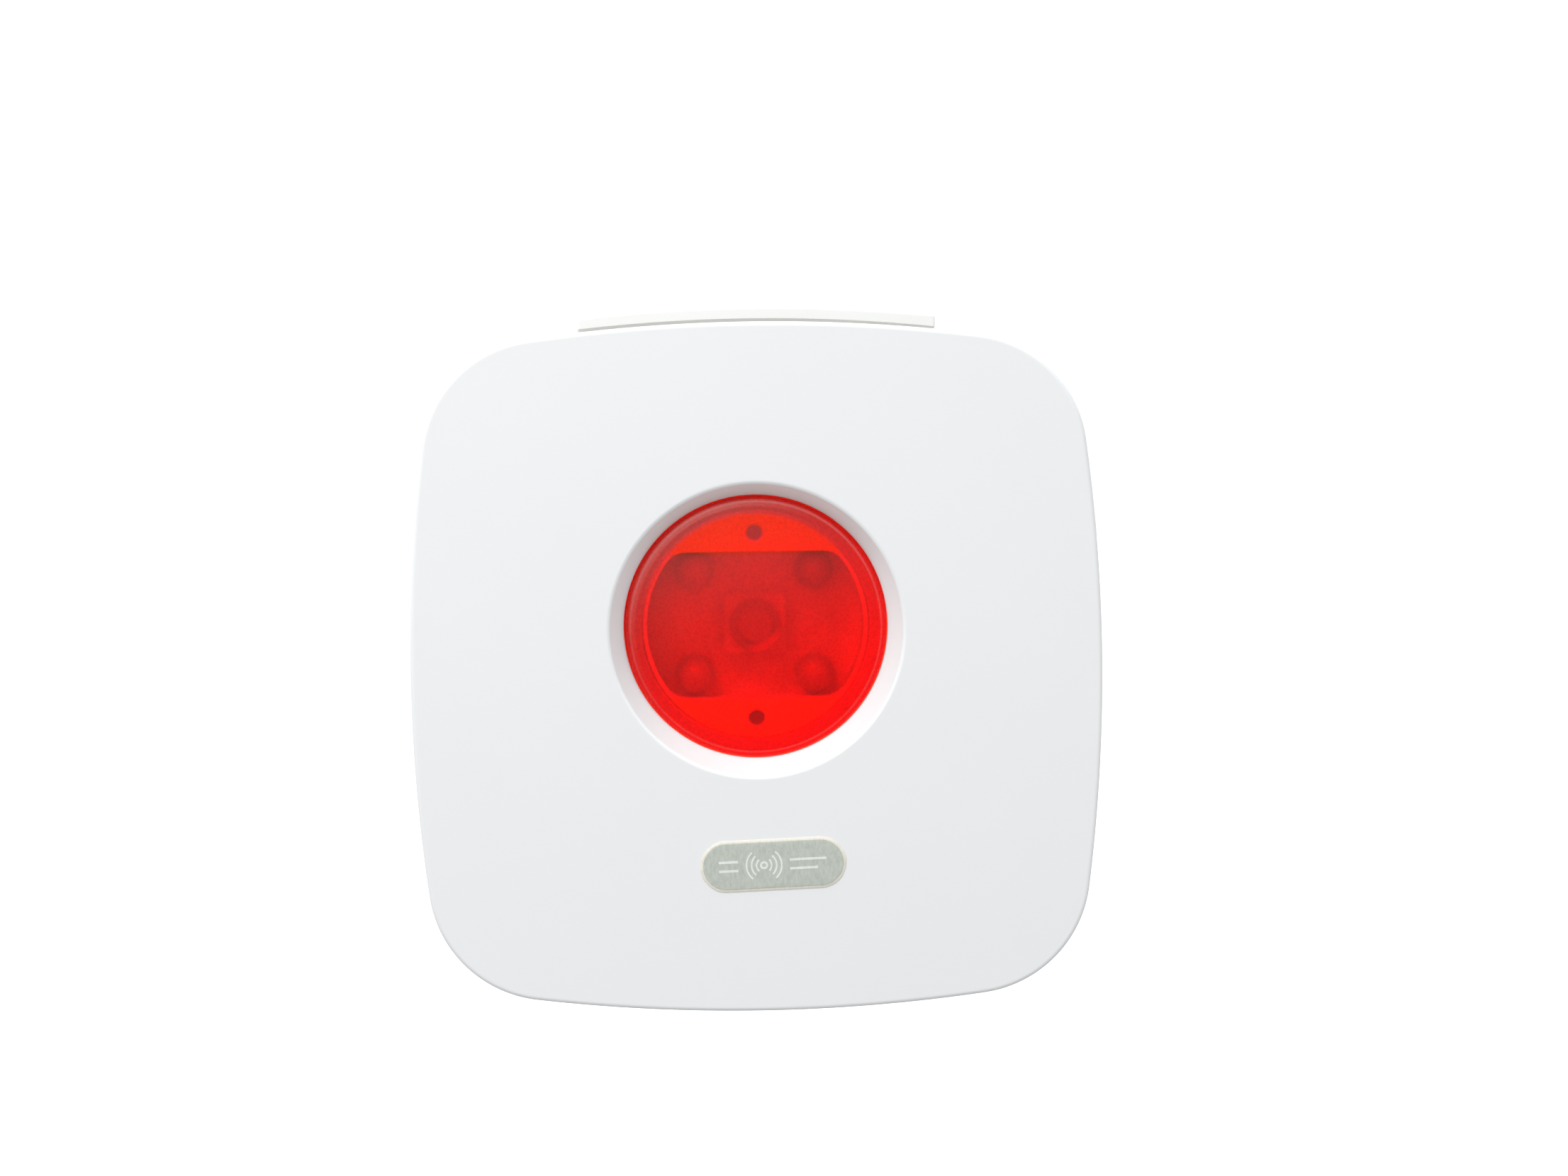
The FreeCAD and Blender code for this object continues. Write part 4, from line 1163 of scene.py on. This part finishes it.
# material, then the pieces made of it
LOOKS = (
    ("case_white_rear", "rear_cover"),
    ("door_white", "battery_door"),
    ("bracket_cream", "wall_bracket"),
    ("push_switch_pale", "push_switch_body"),
    ("plunger_grey", "push_switch_plunger"),
    ("board_mask", "main_board"),
    ("screw_zinc", "board_screws", "case_screws"),
    ("capacitor_sleeve", "storage_capacitor", "timing_capacitor"),
    ("coil_ferrite", "boost_coil"),
    ("chip_epoxy", "controller_chip", "drive_transistor", "chip_resistors"),
    ("sounder_black", "sounder_housing"),
    ("piezo_brass", "piezo_disc"),
    ("wire_red", "sounder_wires"),
    ("switch_black", "power_switch_body"),
    ("slider_black", "power_switch_slider"),
    ("wire_black", "switch_wires"),
    ("cell_sleeve", "cell_upper", "cell_middle", "cell_lower"),
    ("nickel_strip", "contact_positive", "contact_negative"),
    ("nickel_strip", "contact_link_left", "contact_link_right"),
    ("wire_red", "battery_wires"),
)
for look, *pieces in LOOKS:
    for piece in pieces:
        set_material(NODES[piece], look)
        soften(NODES[piece])


# ---------------------------------------------------------------- stage, light, camera
GAZE = 0.76, 0.935  # how squarely the eye faces the front: from grey to white surroundings
FACE_MID = Vector((X_MID, FRONT * 0.001, Z_MID))


def floor_material():
    """Pale to the eye and glowing when facing the front, but dim in the light it throws."""
    n = material("floor_pale")
    tone = n.noise(scale=14.0, detail=3.0)
    seen = n.add("LightPath").outputs["Is Camera Ray"]
    incoming = n.add("NewGeometry").outputs["Incoming"]
    ahead = n.ramp(n.dot(incoming, (0.0, -1.0, 0.0)), GAZE)
    dim = n.mix(tone, (0.36, 0.36, 0.36), (0.39, 0.39, 0.39))
    white = n.mix(tone, (0.88, 0.88, 0.88), (0.91, 0.91, 0.91))
    grey = n.mix(tone, (0.50, 0.505, 0.51), (0.53, 0.535, 0.54))
    surface = n.add(
        "BsdfPrincipled",
        Base_Color=n.mix(seen, dim, n.mix(ahead, grey, white)),
        Roughness=0.9,
        Specular_IOR_Level=0.05,
    )
    strength = n.calc("MULTIPLY", seen, n.ramp(ahead, span=(0.0, 1.0), to=(0.0, 0.42)))
    glow = n.add("Emission", Color=(1, 1, 1), Strength=strength)
    both = n.add("AddShader")
    n.put(both.inputs[0], surface.outputs[0])
    n.put(both.inputs[1], glow.outputs[0])
    n.finish(both)


def floor():
    z, radius, count = cad_lo.z - 0.045, 1.6, 96
    mesh = bpy.data.meshes.new("studio_floor")
    rim = [(radius * math.cos(a), radius * math.sin(a), z) for a in full_turn(count)]
    mesh.from_pydata(rim, [], [tuple(range(count))])
    ob = bpy.data.objects.new("studio_floor", mesh)
    bpy.context.scene.collection.objects.link(ob)
    floor_material()
    set_material(ob, "floor_pale")


floor()


def world():
    """White studio. Light falls mostly from above and a little from the left and behind.
    Facing the front the room is plain white, from the sides and behind a soft grey."""
    room, grade, back = 0.785, 0.58, 0.3  # mean light, change with height, extra from behind
    lean = 0.3  # how far the light's up leans to the left
    sheen, sheen_back = 1.9, 1.3  # what glossy surfaces mirror from above and from behind
    studio = bpy.data.worlds.new("studio")
    bpy.context.scene.world = studio
    n = Nodes(studio, "OutputWorld")
    incoming = n.add("NewGeometry").outputs["Incoming"]

    def along(direction):
        """How far the ray heads in a direction."""
        return n.dot(incoming, tuple(-c for c in direction))

    up = (-lean, 0.0, math.sqrt(1 - lean**2))
    soft = n.ramp(along(up), span=(-1, 1), to=(room - grade, room + grade))
    soft = n.calc("ADD", soft, n.ramp(along((0, 1, 0)), span=(0, 1), to=(0, back)))
    high = along((-0.22, 0, 0.975))
    high = n.ramp(high, span=(-0.25, 0.14), to=(0.02, sheen), kind="SMOOTHSTEP")
    behind = along((0, 1, 0))
    behind = n.ramp(behind, span=(-0.45, 0.35), to=(0.0, sheen_back), kind="SMOOTHSTEP")
    mirrored = n.calc("MAXIMUM", high, behind)
    seen = n.ramp(along((0, 1, 0)), GAZE, to=(0.686, 1.12))
    path = n.add("LightPath").outputs
    lit = n.mix_shaders(
        path["Is Glossy Ray"],
        n.add("Background", Color=(0.975, 0.99, 1.0), Strength=soft),
        n.add("Background", Color=(0.96, 0.98, 1.0), Strength=mirrored),
    )
    backdrop = n.add("Background", Color=(0.962, 0.981, 1.0), Strength=seen)
    n.finish(n.mix_shaders(path["Is Camera Ray"], lit, backdrop))


world()


def key_light():
    """A small lamp up, left and in front, aimed at the face."""
    light = bpy.data.lights.new("key", "AREA")
    light.shape = "RECTANGLE"
    light.size = light.size_y = 0.12
    light.energy = 0.80
    light.color = (1.0, 0.995, 0.985)
    ob = bpy.data.objects.new("key", light)
    ob.location = FACE_MID + Vector((-0.17, -0.27, 0.37))
    ob.rotation_mode = "QUATERNION"
    ob.rotation_quaternion = (FACE_MID - ob.location).to_track_quat("-Z", "Y")
    bpy.context.scene.collection.objects.link(ob)


key_light()


def camera():
    distance = 0.600
    view_width = 217.2184  # mm in view at that distance
    aim_right, aim_up = 3.72178, 11.16534  # mm from the face's middle to the view's
    azimuth, elevation, roll = math.radians(-1.0), math.radians(5.6), math.radians(0.78)
    data = bpy.data.cameras.new("photo_view")
    cam = bpy.data.objects.new("photo_view", data)
    bpy.context.scene.collection.objects.link(cam)
    bpy.context.scene.camera = cam
    data.sensor_width = 36.0
    data.lens = 36.0 * distance * 1000 / view_width
    data.clip_start, data.clip_end = 0.01, 20.0

    back = Vector(
        (
            math.sin(azimuth) * math.cos(elevation),
            -math.cos(azimuth) * math.cos(elevation),
            math.sin(elevation),
        )
    )
    cam.location = FACE_MID + back * distance
    right = Vector((0, 0, 1)).cross(back).normalized()
    up = back.cross(right).normalized()
    rolled_right = right * math.cos(roll) - up * math.sin(roll)
    rolled_up = up * math.cos(roll) + right * math.sin(roll)
    aim = FACE_MID + rolled_right * (aim_right / 1000) + rolled_up * (aim_up / 1000)
    z = -(aim - cam.location).normalized()
    x = rolled_up.cross(z).normalized()
    y = z.cross(x).normalized()
    cam.rotation_mode = "QUATERNION"
    cam.rotation_quaternion = Matrix((x, y, z)).transposed().to_quaternion()


camera()
bpy.context.scene.view_settings.view_transform = "Standard"
bpy.context.scene.view_settings.look = "None"
